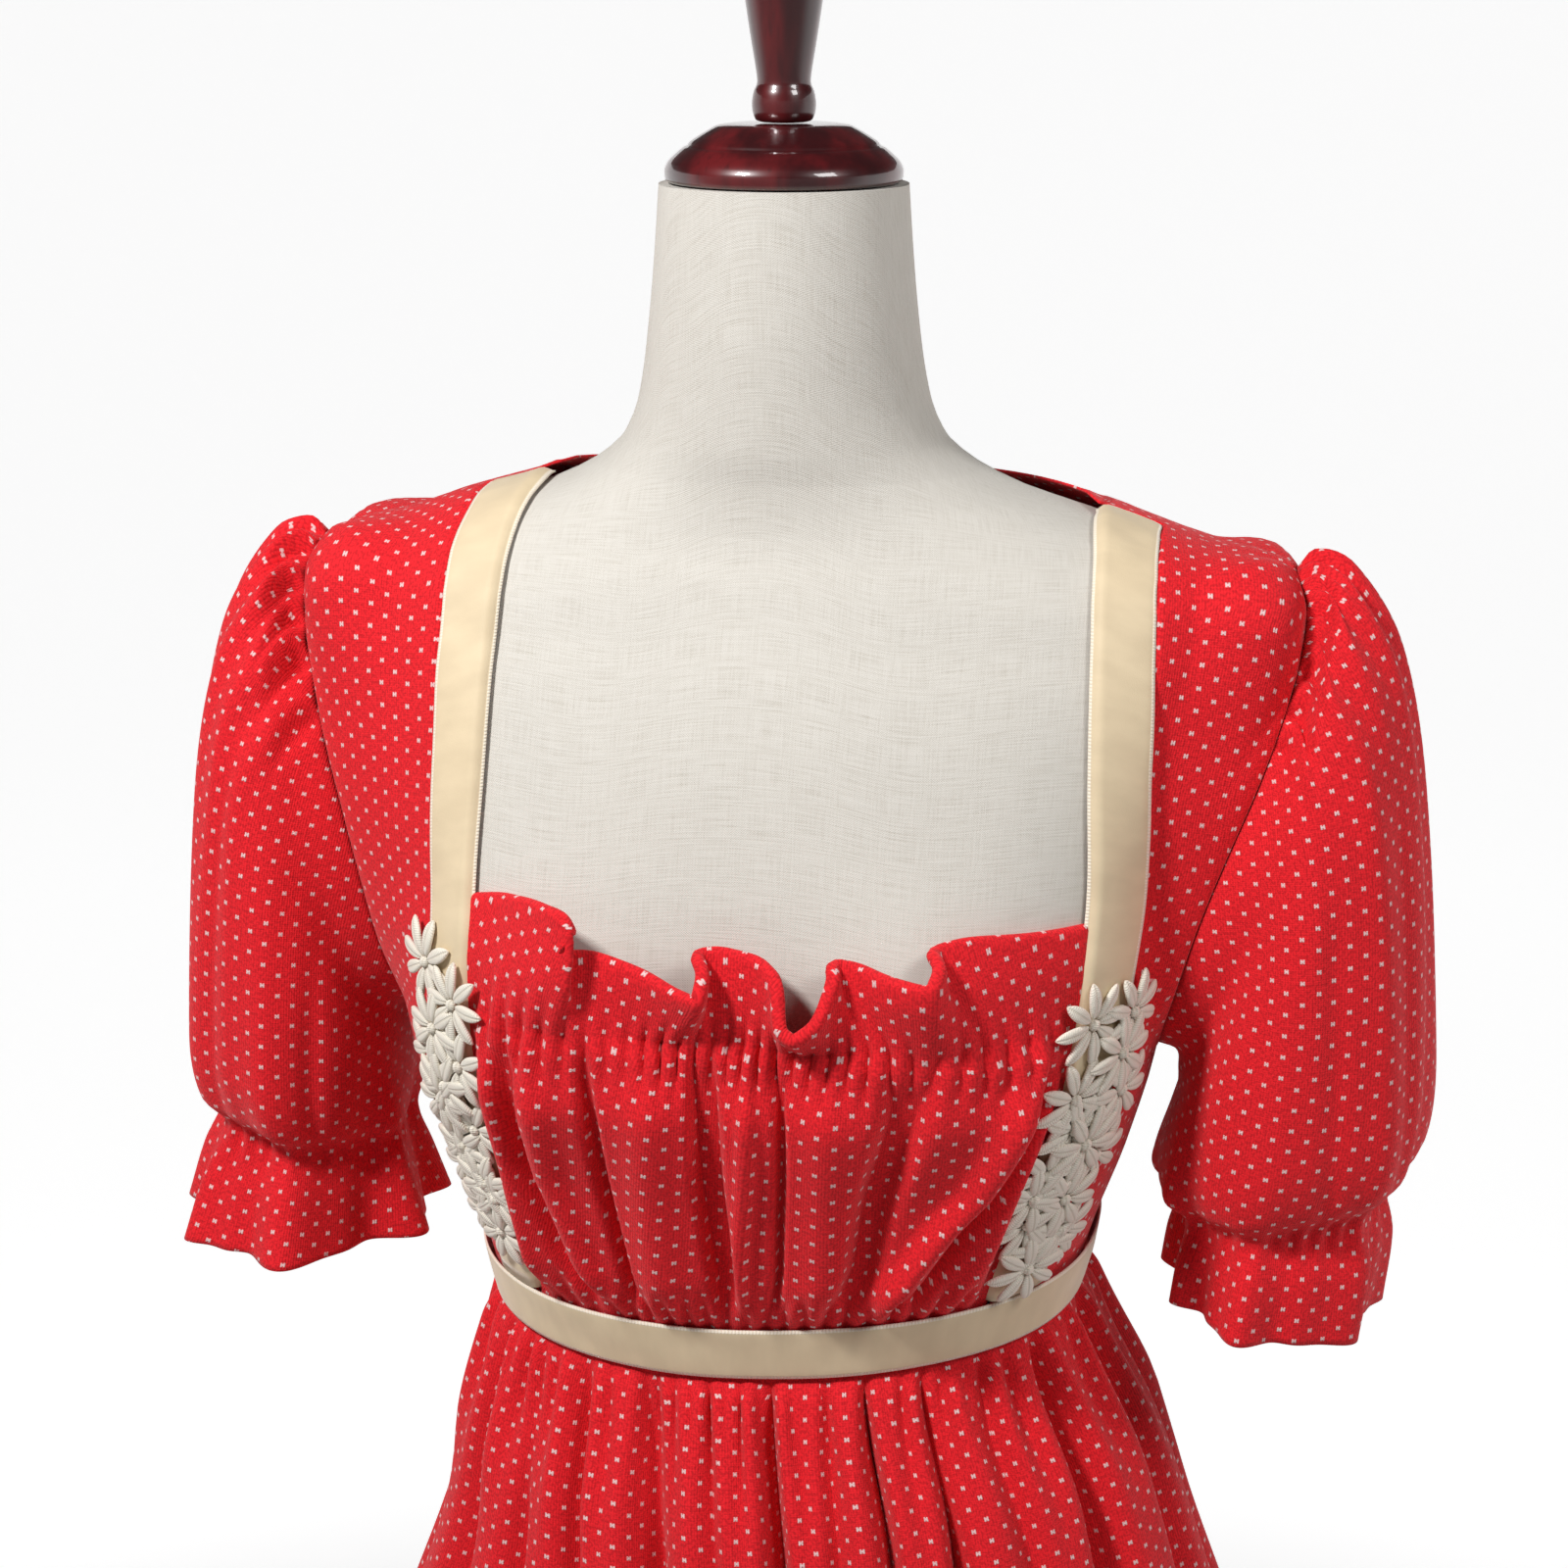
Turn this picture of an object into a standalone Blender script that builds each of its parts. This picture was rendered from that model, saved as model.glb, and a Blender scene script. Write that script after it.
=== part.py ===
"""Babydoll dress with puff sleeves, worn by a limbless dress form on a turned stand.

The dress is cut and joined as a maker would do it: a gathered bust panel with its own
ruffle, two side fronts, one back, two puff sleeves, a gathered skirt, velvet ribbons
over the seams and a strip of daisy lace on each front ribbon.  Every cloth piece is a
thin wall at its worn shape.  Metres, +Z up, front towards -Y, +X to the viewer's right.
"""
import math

import bmesh
import bpy
import numpy as np

# Cloth and seams
CLOTH = 0.0015            # wall of the knitted cloth
RIBBON_WALL = 0.0011      # wall of the velvet ribbon
EASE = 0.0022             # inner face of the cloth above the form
BACK_EASE = 0.0018        # and as much more at the middle of the back
SHOULDER_EASE = 0.0024    # and as much more where the shoulder bends sharply
SEAM = 0.0003             # gap between two pieces at a seam
RIBBON_WIDTH = 0.023
ON_CLOTH = EASE + CLOTH + 1.5 * SEAM  # inner face of a ribbon laid on the cloth
ON_RIBBON = ON_CLOTH + RIBBON_WALL + SEAM

# Heights above the floor
BASE_TOP = 0.028
TORSO_BOTTOM = 0.800
HEM = 0.585
ARMPIT = 1.188
SHOULDER_TIP = 1.380
SHOULDER_WIDEST = 1.360   # where the form's shoulders are widest
SHOULDER_OUT = 0.1820     # outermost column of the shoulder seam, before the armhole
NECK_TOP = 1.521

# Columns and rows of the meshes
TORSO_COLUMNS = 26
TURNED_STEPS = 20
RIBBON_COLUMNS = 2
SIDE_COLUMNS = 6
NECK_COLUMNS = 8
SEAM_ROWS = 4
ARMHOLE_ROWS = 10
SEAM_SHARE = 0.30         # share of a panel's height that meets the side seam
BUST_FOLDS = 11
COLUMNS_PER_FOLD = 5
SLEEVE_COLUMNS = 44
WAIST_COLUMNS = 52

# Rings of the form: height, half width, front depth, back depth, middle (y), squareness
FORM_RINGS = [
    (0.800, 0.150, 0.084, 0.100, 0.0080, 2.2),
    (0.820, 0.163, 0.092, 0.112, 0.0080, 2.2),
    (0.860, 0.168, 0.098, 0.118, 0.0080, 2.2),
    (0.900, 0.160, 0.098, 0.112, 0.0080, 2.2),
    (0.960, 0.130, 0.088, 0.090, 0.0080, 2.2),
    (1.010, 0.112, 0.080, 0.078, 0.0080, 2.2),
    (1.060, 0.115, 0.084, 0.078, 0.0080, 2.2),
    (1.100, 0.122, 0.092, 0.084, 0.0080, 2.3),
    (1.150, 0.137, 0.104, 0.090, 0.0080, 2.5),
    (1.200, 0.148, 0.114, 0.095, 0.0080, 2.7),
    (1.240, 0.152, 0.115, 0.100, 0.0080, 2.7),
    (1.262, 0.155, 0.111, 0.102, 0.0080, 2.6),
    (1.290, 0.163, 0.104, 0.103, 0.0090, 2.5),
    (1.320, 0.174, 0.095, 0.102, 0.0100, 2.3),
    (1.343, 0.183, 0.085, 0.097, 0.0110, 2.2),
    (1.359, 0.188, 0.077, 0.091, 0.0120, 2.1),
    (1.369, 0.186, 0.072, 0.086, 0.0120, 2.1),
    (1.378, 0.174, 0.068, 0.082, 0.0120, 2.0),
    (1.386, 0.151, 0.064, 0.077, 0.0120, 2.0),
    (1.395, 0.125, 0.060, 0.072, 0.0110, 2.0),
    (1.404, 0.097, 0.057, 0.066, 0.0090, 2.0),
    (1.415, 0.075, 0.054, 0.060, 0.0060, 2.0),
    (1.426, 0.0625, 0.0525, 0.056, 0.0030, 2.0),
    (1.441, 0.056, 0.0515, 0.0525, 0.0015, 2.0),
    (1.473, 0.051, 0.050, 0.050, 0.0000, 2.0),
    (1.500, 0.0485, 0.0485, 0.0485, 0.0000, 2.0),
    (1.521, 0.047, 0.047, 0.047, 0.0000, 2.0),
]
BUST_RISE = 0.012         # how far each side of the bust stands out of its ring
BUST_ACROSS = 0.074
BUST_HEIGHT = 1.222
BUST_SPREAD = (0.038, 0.044)

# Front ribbons: height, inner edge, outer edge, both from the neckline's middle
NECKLINE = [
    (1.060, 0.0800, 0.0980),
    (1.100, 0.0870, 0.1055),
    (1.150, 0.0985, 0.1155),
    (1.200, 0.1085, 0.1250),
    (1.240, 0.1115, 0.1285),
    (1.275, 0.1130, 0.1310),
    (1.310, 0.1120, 0.1320),
    (1.345, 0.1115, 0.1328),
    (1.380, 0.1105, 0.1325),
    (1.400, 0.1070, 0.1285),
    (1.410, 0.1000, 0.1215),
]
# The neckline sits a little off the form's middle: height, shift to +X
DRESS_SHIFT = [
    (1.060, 0.000),
    (1.100, 0.001),
    (1.150, 0.004),
    (1.200, 0.009),
    (1.275, 0.012),
    (1.410, 0.011),
]
# Armhole seam: height, distance from the form's middle
ARMHOLE_OUT = [
    (1.188, 0.1500),
    (1.200, 0.1520),
    (1.222, 0.1570),
    (1.250, 0.1635),
    (1.280, 0.1725),
    (1.305, 0.1810),
    (1.329, 0.1880),
    (1.350, 0.1930),
    (1.366, 0.1945),
    (1.380, 0.1900),
]
ARMHOLE_SHIFT = 0.005     # both shoulders of the dress lie this far towards +X
ARMHOLE_GAP = 0.0021      # bodice's inner edge to the sleeve's: the bodice's wall leans out
ARMHOLE_MIDDLE = 0.006    # y of the armhole's middle
ARMHOLE_FRONT = 0.044
ARMHOLE_BACK = 0.044

# Waist ribbon: the height of its middle all round
WAIST_FRONT = 1.0815
WAIST_SIDE_RISE = 0.013
WAIST_TILT = 0.006
WAIST_EASE = 0.0008       # the waist ribbon lies this much looser than the others
BACK_NECK = (1.408, 1.422)            # back neckline at the shoulder and at the middle

# Bust panel: share of the panel's height, rise of the folds
GATHER_LINE = 1.219
BUST_BRIDGE = 0.006       # how far the panel spans the hollow between the two sides
BUST_FOLD_RISE = [
    (0.00, 0.0002),
    (0.09, 0.0004),
    (0.22, 0.0024),
    (0.40, 0.0036),
    (0.60, 0.0044),
    (0.85, 0.0036),
    (0.96, 0.0022),
    (1.00, 0.0016),
]
BUST_ROWS = [0.0, 0.09, 0.20, 0.40, 0.63, 0.84, 0.96]
RUFFLE_ROWS = [0.0, 0.22, 0.60, 1.0]
# Ruffle's top edge from side to side: share of the width, height, distance off the form
RUFFLE_EDGE = [
    (0.000, 1.262, 0.0022),
    (0.055, 1.265, 0.0026),
    (0.120, 1.264, 0.0100),
    (0.178, 1.260, 0.0180),
    (0.196, 1.252, 0.0170),
    (0.172, 1.248, 0.0090),
    (0.210, 1.249, 0.0060),
    (0.280, 1.245, 0.0080),
    (0.350, 1.241, 0.0140),
    (0.412, 1.240, 0.0190),
    (0.420, 1.247, 0.0130),
    (0.398, 1.252, 0.0075),
    (0.430, 1.253, 0.0060),
    (0.500, 1.251, 0.0080),
    (0.545, 1.246, 0.0140),
    (0.560, 1.232, 0.0180),
    (0.600, 1.228, 0.0190),
    (0.640, 1.234, 0.0170),
    (0.652, 1.247, 0.0110),
    (0.640, 1.251, 0.0065),
    (0.670, 1.250, 0.0060),
    (0.720, 1.246, 0.0110),
    (0.778, 1.243, 0.0180),
    (0.792, 1.250, 0.0130),
    (0.780, 1.256, 0.0070),
    (0.830, 1.259, 0.0055),
    (0.930, 1.258, 0.0030),
    (1.000, 1.258, 0.0022),
]

# Skirt: drop below the waist line, flare, depth of the folds
SKIRT_ROWS = [
    (0.0003, 0.0000, 0.0000),
    (0.0130, 0.0002, 0.0002),
    (0.0200, 0.0042, 0.0020),
    (0.0450, 0.0122, 0.0055),
    (0.1200, 0.0300, 0.0100),
    (0.1900, 0.0540, 0.0120),
    (0.2900, 0.0860, 0.0150),
    (0.5000, 0.1400, 0.0200),
]
SKIRT_HUG = (0.020, 0.080)            # drop where the cloth leaves the form, and hangs free
SKIRT_SWAY = 0.011        # the skirt hangs this far towards +X
SKIRT_SWAY_DROP = 0.12    # from this drop down
SKIRT_OFF_HIPS = 0.006    # cloth off the form where a valley would reach it
# Valleys between the skirt's folds: turn from the front in degrees, depth, half width
SKIRT_VALLEYS = [
    (-172, 0.9, 3.6),
    (-157, 0.6, 3.0),
    (-144, 1.0, 3.8),
    (-129, 0.8, 3.2),
    (-113, 0.6, 3.0),
    (-100, 1.0, 4.0),
    (-84, 0.7, 3.2),
    (-68, 1.0, 3.6),
    (-54, 0.6, 2.8),
    (-42, 0.7, 2.8),
    (-25, 1.2, 5.0),
    (-10, 0.3, 3.0),
    (5, 1.1, 3.4),
    (18, 0.5, 2.6),
    (29, 1.0, 2.2),
    (41, 1.1, 2.2),
    (53, 0.4, 2.6),
    (66, 1.1, 3.4),
    (82, 0.7, 3.2),
    (97, 1.0, 3.6),
    (113, 0.6, 3.0),
    (127, 1.0, 3.8),
    (142, 0.7, 3.0),
    (158, 1.0, 3.4),
    (173, 0.6, 3.0),
]
SKIRT_CREST = 0.75        # crest of a fold, in shares of the folds' depth
SKIRT_FALL = 1.9          # from there down to the bottom of a valley of depth 1
VALLEY_SIDE = 1.3         # a valley's sides, in half widths from its bottom

# Left sleeve: outer x, z, inner x, z, bow, front y, back y, gathers, cuff folds
LEFT_SLEEVE_ROWS = [
    (0.2120, 1.3800, 0.1590, 1.1770, 0.0060, -0.049, 0.061, 0.0024, 0.0000),
    (0.2310, 1.3520, 0.1600, 1.1690, 0.0040, -0.056, 0.066, 0.0016, 0.0000),
    (0.2440, 1.2950, 0.1605, 1.1600, 0.0010, -0.060, 0.068, 0.0006, 0.0000),
    (0.2535, 1.1850, 0.1610, 1.1460, 0.0000, -0.060, 0.068, 0.0000, 0.0014),
    (0.2500, 1.1560, 0.1620, 1.1360, 0.0000, -0.055, 0.063, 0.0000, 0.0022),
    (0.2420, 1.1420, 0.1640, 1.1280, 0.0000, -0.045, 0.053, 0.0000, 0.0024),
    (0.2510, 1.1180, 0.1600, 1.1090, 0.0000, -0.053, 0.060, 0.0000, 0.0040),
    (0.2570, 1.0940, 0.1560, 1.0880, 0.0000, -0.060, 0.066, 0.0000, 0.0060),
]
# Right sleeve, which hangs lower and whose ruffle falls straight
RIGHT_SLEEVE_ROWS = [
    (0.2120, 1.3800, 0.1590, 1.1770, 0.0060, -0.049, 0.061, 0.0024, 0.0000),
    (0.2310, 1.3520, 0.1590, 1.1690, 0.0040, -0.056, 0.066, 0.0016, 0.0000),
    (0.2440, 1.2950, 0.1560, 1.1580, 0.0010, -0.060, 0.068, 0.0006, 0.0000),
    (0.2535, 1.1850, 0.1510, 1.1380, 0.0000, -0.060, 0.068, 0.0000, 0.0014),
    (0.2500, 1.1430, 0.1520, 1.1230, 0.0000, -0.055, 0.063, 0.0000, 0.0022),
    (0.2360, 1.1240, 0.1620, 1.1140, 0.0000, -0.045, 0.053, 0.0000, 0.0024),
    (0.2370, 1.0990, 0.1610, 1.0960, 0.0000, -0.049, 0.053, 0.0000, 0.0036),
    (0.2330, 1.0690, 0.1620, 1.0790, 0.0000, -0.050, 0.052, 0.0000, 0.0048),
]
CAP_STEP = 0.0070         # the ring past the seam lies this much further out
CAP_SWELL = 0.0035
CAP_GATHER = 0.0020
SLEEVE_GATHERS = 8        # small folds over the sleeve's cap
CAP_REACH = math.radians(72)          # half the cap that is gathered
CAP_COLUMNS = 24          # columns on the gathered cap, of all the sleeve's columns
CUFF_FOLDS = 11

# Daisy lace: the lowest flower, the step up to the next, and how far each lies aside
LACE_FLOWERS = 8
LACE_TURN = 0.95          # turn from the front at the foot of the lace
LACE_FOOT = 0.0030        # from the waist ribbon to the lowest petal
LACE_STEP = 0.0158
LACE_ASIDE = (0.0020, 0.0090)         # at the lowest and at the highest flower
PETALS = 8
PETAL_REACH = 0.0130
PETAL_NOTCH = 0.0062
PETAL_TIP_TURN = 0.12     # half a petal tip's width as a turn round the flower
FLOWER_WALL = 0.0012
FLOWER_RIDGE = 0.0012     # a petal's middle above its edge
KNOT_REACH = 0.0026
FLOWER_OVER = 0.0005      # every other flower lies this much over its neighbours

# Turned pieces: radius, height
CAP_PROFILE = [
    (0.0000, 1.5213),
    (0.0430, 1.5213),
    (0.0447, 1.5225),
    (0.0450, 1.5262),
    (0.0434, 1.5295),
    (0.0380, 1.5342),
    (0.0362, 1.5348),
    (0.0352, 1.5364),
    (0.0300, 1.5396),
    (0.0238, 1.5430),
    (0.0000, 1.5430),
]
FINIAL_PROFILE = [
    (0.0000, 1.5433),
    (0.0102, 1.5433),
    (0.0118, 1.5465),
    (0.0121, 1.5505),
    (0.0114, 1.5545),
    (0.0099, 1.5575),
    (0.0104, 1.5620),
    (0.0126, 1.5750),
    (0.0150, 1.5910),
    (0.0166, 1.6080),
    (0.0165, 1.6220),
    (0.0140, 1.6340),
    (0.0085, 1.6410),
    (0.0000, 1.6440),
]
BASE_PROFILE = [
    (0.0000, 0.0000),
    (0.1720, 0.0000),
    (0.1760, 0.0040),
    (0.1760, 0.0130),
    (0.1700, 0.0180),
    (0.1500, 0.0205),
    (0.0600, 0.0240),
    (0.0300, BASE_TOP),
    (0.0000, BASE_TOP),
]
POLE_RADIUS = 0.0160

# Materials: base colour, roughness, metallic
RED_CLOTH = ("red_cloth", (0.60, 0.012, 0.022), 0.75, 0.0)
VELVET = ("velvet_ribbon", (0.72, 0.60, 0.42), 0.80, 0.0)
LACE = ("lace", (0.80, 0.78, 0.74), 0.85, 0.0)
LINEN = ("linen", (0.70, 0.67, 0.62), 0.90, 0.0)
DARK_WOOD = ("dark_wood", (0.16, 0.015, 0.015), 0.15, 0.0)


def curve_through(table, column):
    """A smooth curve through one column of a table, without overshoot, over its first."""
    at = np.array([row[0] for row in table], float)
    value = np.array([row[column] for row in table], float)
    step = np.diff(at)
    rise = np.diff(value) / step
    slope = np.zeros_like(value)
    slope[0] = rise[0]
    slope[-1] = rise[-1]
    for i in range(1, len(at) - 1):
        if rise[i - 1] * rise[i] > 0.0:
            before = 2.0 * step[i] + step[i - 1]
            after = step[i] + 2.0 * step[i - 1]
            slope[i] = (before + after) / (before / rise[i - 1] + after / rise[i])

    def curve(x):
        x = np.clip(np.asarray(x, float), at[0], at[-1])
        i = np.clip(np.searchsorted(at, x) - 1, 0, len(step) - 1)
        t = (x - at[i]) / step[i]
        return ((1 + 2 * t) * (1 - t) ** 2 * value[i]
                + t * (1 - t) ** 2 * step[i] * slope[i]
                + t * t * (3 - 2 * t) * value[i + 1]
                - t * t * (1 - t) * step[i] * slope[i + 1])

    return curve


half_width = curve_through(FORM_RINGS, 1)
front_depth = curve_through(FORM_RINGS, 2)
back_depth = curve_through(FORM_RINGS, 3)
ring_middle = curve_through(FORM_RINGS, 4)
squareness = curve_through(FORM_RINGS, 5)
neck_inner = curve_through(NECKLINE, 1)
neck_outer = curve_through(NECKLINE, 2)
dress_shift = curve_through(DRESS_SHIFT, 1)
armhole_out = curve_through(ARMHOLE_OUT, 1)
bust_fold_rise = curve_through(BUST_FOLD_RISE, 1)


def smooth_step(x):
    x = np.clip(x, 0.0, 1.0)
    return x * x * (3.0 - 2.0 * x)


def form_point(turn, height):
    """Point on the form: turn is the angle from the front, positive towards +X."""
    turn, height = np.broadcast_arrays(np.asarray(turn, float), np.asarray(height, float))
    ahead = np.cos(turn)
    depth = np.where(ahead > 0.0, front_depth(height), back_depth(height))
    power = squareness(height)
    reach = (np.abs(np.sin(turn) / half_width(height)) ** power
             + np.abs(ahead / depth) ** power) ** (-1.0 / power)
    x = reach * np.sin(turn)
    y = ring_middle(height) - reach * ahead
    aside = (np.abs(x) - BUST_ACROSS) / BUST_SPREAD[0]
    above = (height - BUST_HEIGHT) / BUST_SPREAD[1]
    y = y - BUST_RISE * np.exp(-aside ** 2 - above ** 2) * np.clip(2.0 * ahead, 0.0, 1.0)
    return np.stack([x, y, height], axis=-1)


def on_form(turn, height, lift):
    """Point at a distance off the form's surface."""
    turn, height = np.broadcast_arrays(np.asarray(turn, float), np.asarray(height, float))
    small_turn = 2e-3
    small_rise = 2e-4
    round_it = form_point(turn + small_turn, height) - form_point(turn - small_turn, height)
    up_it = form_point(turn, height + small_rise) - form_point(turn, height - small_rise)
    normal = np.cross(round_it, up_it)
    normal = normal / np.linalg.norm(normal, axis=-1, keepdims=True)
    return form_point(turn, height) + normal * np.asarray(lift, float)[..., None]


def form_gap(points):
    """How far points lie outside the form, measured level from its axis."""
    middle = ring_middle(points[..., 2])
    turn = np.arctan2(points[..., 0], middle - points[..., 1])
    skin = form_point(turn, points[..., 2])
    return (np.hypot(points[..., 0], points[..., 1] - middle)
            - np.hypot(skin[..., 0], skin[..., 1] - middle))


def keep_off(points, least):
    """Move points straight off the form until they clear it by a distance."""
    small = 0.0004
    for _ in range(4):
        gap = form_gap(points)
        slope = np.stack([(form_gap(points + step) - form_gap(points - step)) / (2.0 * small)
                          for step in small * np.eye(3)], axis=-1)
        steep = np.linalg.norm(slope, axis=-1)
        short = np.maximum(least - gap / steep, 0.0)
        points = points + (short / steep)[..., None] * slope
    return points


def turn_at(across, height, at_back=False):
    """Turn at which the form reaches a distance from its middle, along X."""
    share = np.clip(across / half_width(height), 0.0, 1.0)
    power = squareness(height)
    depth = back_depth(height) if at_back else front_depth(height)
    ahead = depth * (1.0 - share ** power) ** (1.0 / power)
    turn = np.arctan2(share * half_width(height), ahead)
    return np.pi - turn if at_back else turn


def waist_height(turn):
    """Middle of the waist ribbon: lowest in front, higher at the sides."""
    return WAIST_FRONT + WAIST_SIDE_RISE * (1.0 - np.cos(turn)) / 1.4 + WAIST_TILT * np.sin(turn)


def resample(points, shares):
    """Points at shares of the length of a fine line of points."""
    steps = np.linalg.norm(np.diff(points, axis=0), axis=1)
    length = np.concatenate([[0.0], np.cumsum(steps)])
    wanted = np.asarray(shares) * length[-1]
    return np.stack([np.interp(wanted, length, points[:, k]) for k in range(3)], axis=1)


def armhole_point(side, turn, at_back):
    """Armhole seam of one side: turn runs from 0 at the armpit to pi at the shoulder."""
    turn = np.asarray(turn, float)
    middle = (ARMPIT + SHOULDER_TIP) / 2.0
    height = middle - (SHOULDER_TIP - ARMPIT) / 2.0 * np.cos(turn)
    if at_back:
        y = ARMHOLE_MIDDLE + ARMHOLE_BACK * np.sin(turn) * (1.0 + 0.10 * np.cos(turn))
    else:
        y = ARMHOLE_MIDDLE - ARMHOLE_FRONT * np.sin(turn) * (1.0 + 0.35 * np.cos(turn))
    x = side * armhole_out(height) + ARMHOLE_SHIFT * smooth_step((height - 1.20) / 0.14)
    return np.stack([x, y, height], axis=-1)


def armhole_turn(side, height, at_back):
    """Turn of the panel's outer edge on the form, at the side seam and the armhole."""
    middle = (ARMPIT + SHOULDER_TIP) / 2.0
    level = np.clip((middle - height) / ((SHOULDER_TIP - ARMPIT) / 2.0), -1.0, 1.0)
    y = armhole_point(side, np.arccos(level), at_back)[..., 1]
    depth = back_depth(height) if at_back else front_depth(height)
    ahead = np.clip(np.abs(ring_middle(height) - y) / depth, 0.0, 1.0)
    turn = np.arctan2(half_width(height) * (1.0 - ahead ** 2) ** 0.5, ahead * depth)
    return np.pi - turn if at_back else turn


def panel_turn(side, column, height, at_back):
    """Turn of a panel's column: 0 at the neckline's edge, 1 at the ribbon's outer edge,
    2 at the side seam and the armhole; on the back -1 is the middle."""
    shift = side * dress_shift(height)
    inner = neck_inner(height) + shift
    outer = neck_outer(height) + shift
    if column <= 0.0:
        low = inner * (1.0 + column)
        across = low
        low_turn = turn_at(low, height, at_back)
    elif column <= 1.0:
        across = inner + (outer - inner) * column
        low_turn = turn_at(across, height, at_back)
    else:
        across = outer + (SHOULDER_OUT - outer) * (column - 1.0)
        from_turn = turn_at(outer, height, at_back)
        to_turn = armhole_turn(side, height, at_back)
        low_turn = from_turn + (to_turn - from_turn) * (column - 1.0)
    high_turn = turn_at(across, height, at_back)
    share = smooth_step((height - 1.300) / 0.065)
    return low_turn + (high_turn - low_turn) * share


def column_top(side, column, at_back):
    """Height at which a column reaches the shoulder seam, or the back neckline."""
    heights = np.linspace(SHOULDER_WIDEST, NECK_TOP, 1200)
    shift = side * dress_shift(heights)
    inner = neck_inner(heights) + shift
    outer = neck_outer(heights) + shift
    if column <= 0.0:
        across = inner * (1.0 + column)
    elif column <= 1.0:
        across = inner + (outer - inner) * column
    else:
        across = outer + (SHOULDER_OUT - outer) * (column - 1.0)
    inside = across < half_width(heights)
    top = heights[np.argmin(inside)] if not inside.all() else heights[-1]
    if at_back and column < 0.0:
        limit = BACK_NECK[0] + (BACK_NECK[1] - BACK_NECK[0]) * (1.0 - (1.0 + column) ** 2)
        top = min(top, limit)
    return top


def armhole_shares():
    """Shares of the way round the armhole, closer together towards the shoulder."""
    return 1.0 - (1.0 - np.linspace(0.0, 1.0, ARMHOLE_ROWS + 1)[1:]) ** 1.5


def panel_shares():
    """Shares of a column's length at the panel's rows; the first rows meet the side seam."""
    seam = np.linspace(0.0, SEAM_SHARE, SEAM_ROWS + 1)
    armhole = SEAM_SHARE + (1.0 - SEAM_SHARE) * armhole_shares()
    return np.concatenate([seam, armhole])


def panel_edge(side, at_back, lift):
    """Outer edge of a panel: up the side seam, then round the armhole to the shoulder."""
    sign = 1.0 if at_back else -1.0
    seam_turn = math.pi / 2
    low = waist_height(side * seam_turn) + SEAM
    heights = np.linspace(low, ARMPIT, SEAM_ROWS + 1)
    seam = on_form(seam_turn, heights, lift)
    seam[:, 0] *= side
    armpit = armhole_point(side, 0.0, at_back)
    seam += smooth_step(np.linspace(0.0, 1.0, SEAM_ROWS + 1))[:, None] * (armpit - seam[-1])
    turns = math.pi * armhole_shares()
    edge = np.concatenate([seam, armhole_point(side, turns, at_back)])
    edge[:SEAM_ROWS + 1, 1] += sign * SEAM * 0.75
    edge[-1, 1] += sign * SEAM * 0.75
    return edge


def panel_path(side, column, at_back, foot):
    """Turns and heights of a column's rows, from above the waist to the shoulder."""
    start = panel_turn(side, column, np.array(1.09), at_back)
    low = waist_height(side * float(start)) + SEAM
    heights = np.linspace(low, column_top(side, column, at_back), 260)
    turns = panel_turn(side, column, heights, at_back)
    steps = np.linalg.norm(np.diff(form_point(turns, heights), axis=0), axis=1)
    length = np.concatenate([[0.0], np.cumsum(steps)])
    wanted = panel_shares() * length[-1]
    wanted[0] = np.interp(low + foot, heights, length)
    return np.interp(wanted, length, turns), np.interp(wanted, length, heights)


def panel_column(side, column, at_back, lift, foot=0.0):
    """One column of a side front, of the back or of a front ribbon."""
    turns, heights = panel_path(side, column, at_back, foot)
    loose = 0.0
    if at_back:
        loose = BACK_EASE * smooth_step((heights - 1.125) / 0.08) * smooth_step(-2.0 * column)
    line = on_form(turns, heights, lift + loose * np.ones_like(heights))
    line[:, 0] *= side
    if column > -0.25 or not at_back:
        line[-1, 1] += (1.0 if at_back else -1.0) * SEAM * 0.75
    return line


def half_panel(side, columns, at_back, lift=EASE):
    """Points of a panel: rows up, columns from the neckline towards the armhole."""
    lines = [panel_column(side, column, at_back, lift) for column in columns]
    pull = panel_edge(side, at_back, lift) - lines[-1]
    for k, column in enumerate(columns):
        share = smooth_step((column - 1.15) / 0.85)
        lines[k] = lines[k] + share * pull
        if column < 2.0:
            tight = smooth_step((lines[k][:, 2] - 1.330) / 0.030) * (at_back or column > 1.0)
            lines[k] = keep_off(lines[k], lift + SHOULDER_EASE * tight)
    return np.stack(lines, axis=1)


def laid_grid(name, points, colour, wall=0.0, wrap=False, middle=None, fill=False, grow=1.0):
    """A named object from rows and columns of points, with a wall or filled ends."""
    rows, columns = points.shape[:2]
    mesh = bmesh.new()
    bmesh.ops.create_grid(mesh, x_segments=columns - 1, y_segments=rows - 1, size=1.0)
    for vert, place in zip(mesh.verts, points.reshape(-1, 3)):
        vert.co = place
    if wrap:
        bmesh.ops.remove_doubles(mesh, verts=mesh.verts, dist=1e-6)
    if fill:
        open_edges = [edge for edge in mesh.edges if edge.is_boundary]
        bmesh.ops.holes_fill(mesh, edges=open_edges, sides=0)
        bmesh.ops.recalc_face_normals(mesh, faces=mesh.faces)
    else:
        face_outwards(mesh, middle)
    obj = finish_object(name, mesh, colour)
    if wall:
        solid = obj.modifiers.new("wall", "SOLIDIFY")
        solid.thickness = wall
        solid.offset = grow
    return obj


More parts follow.
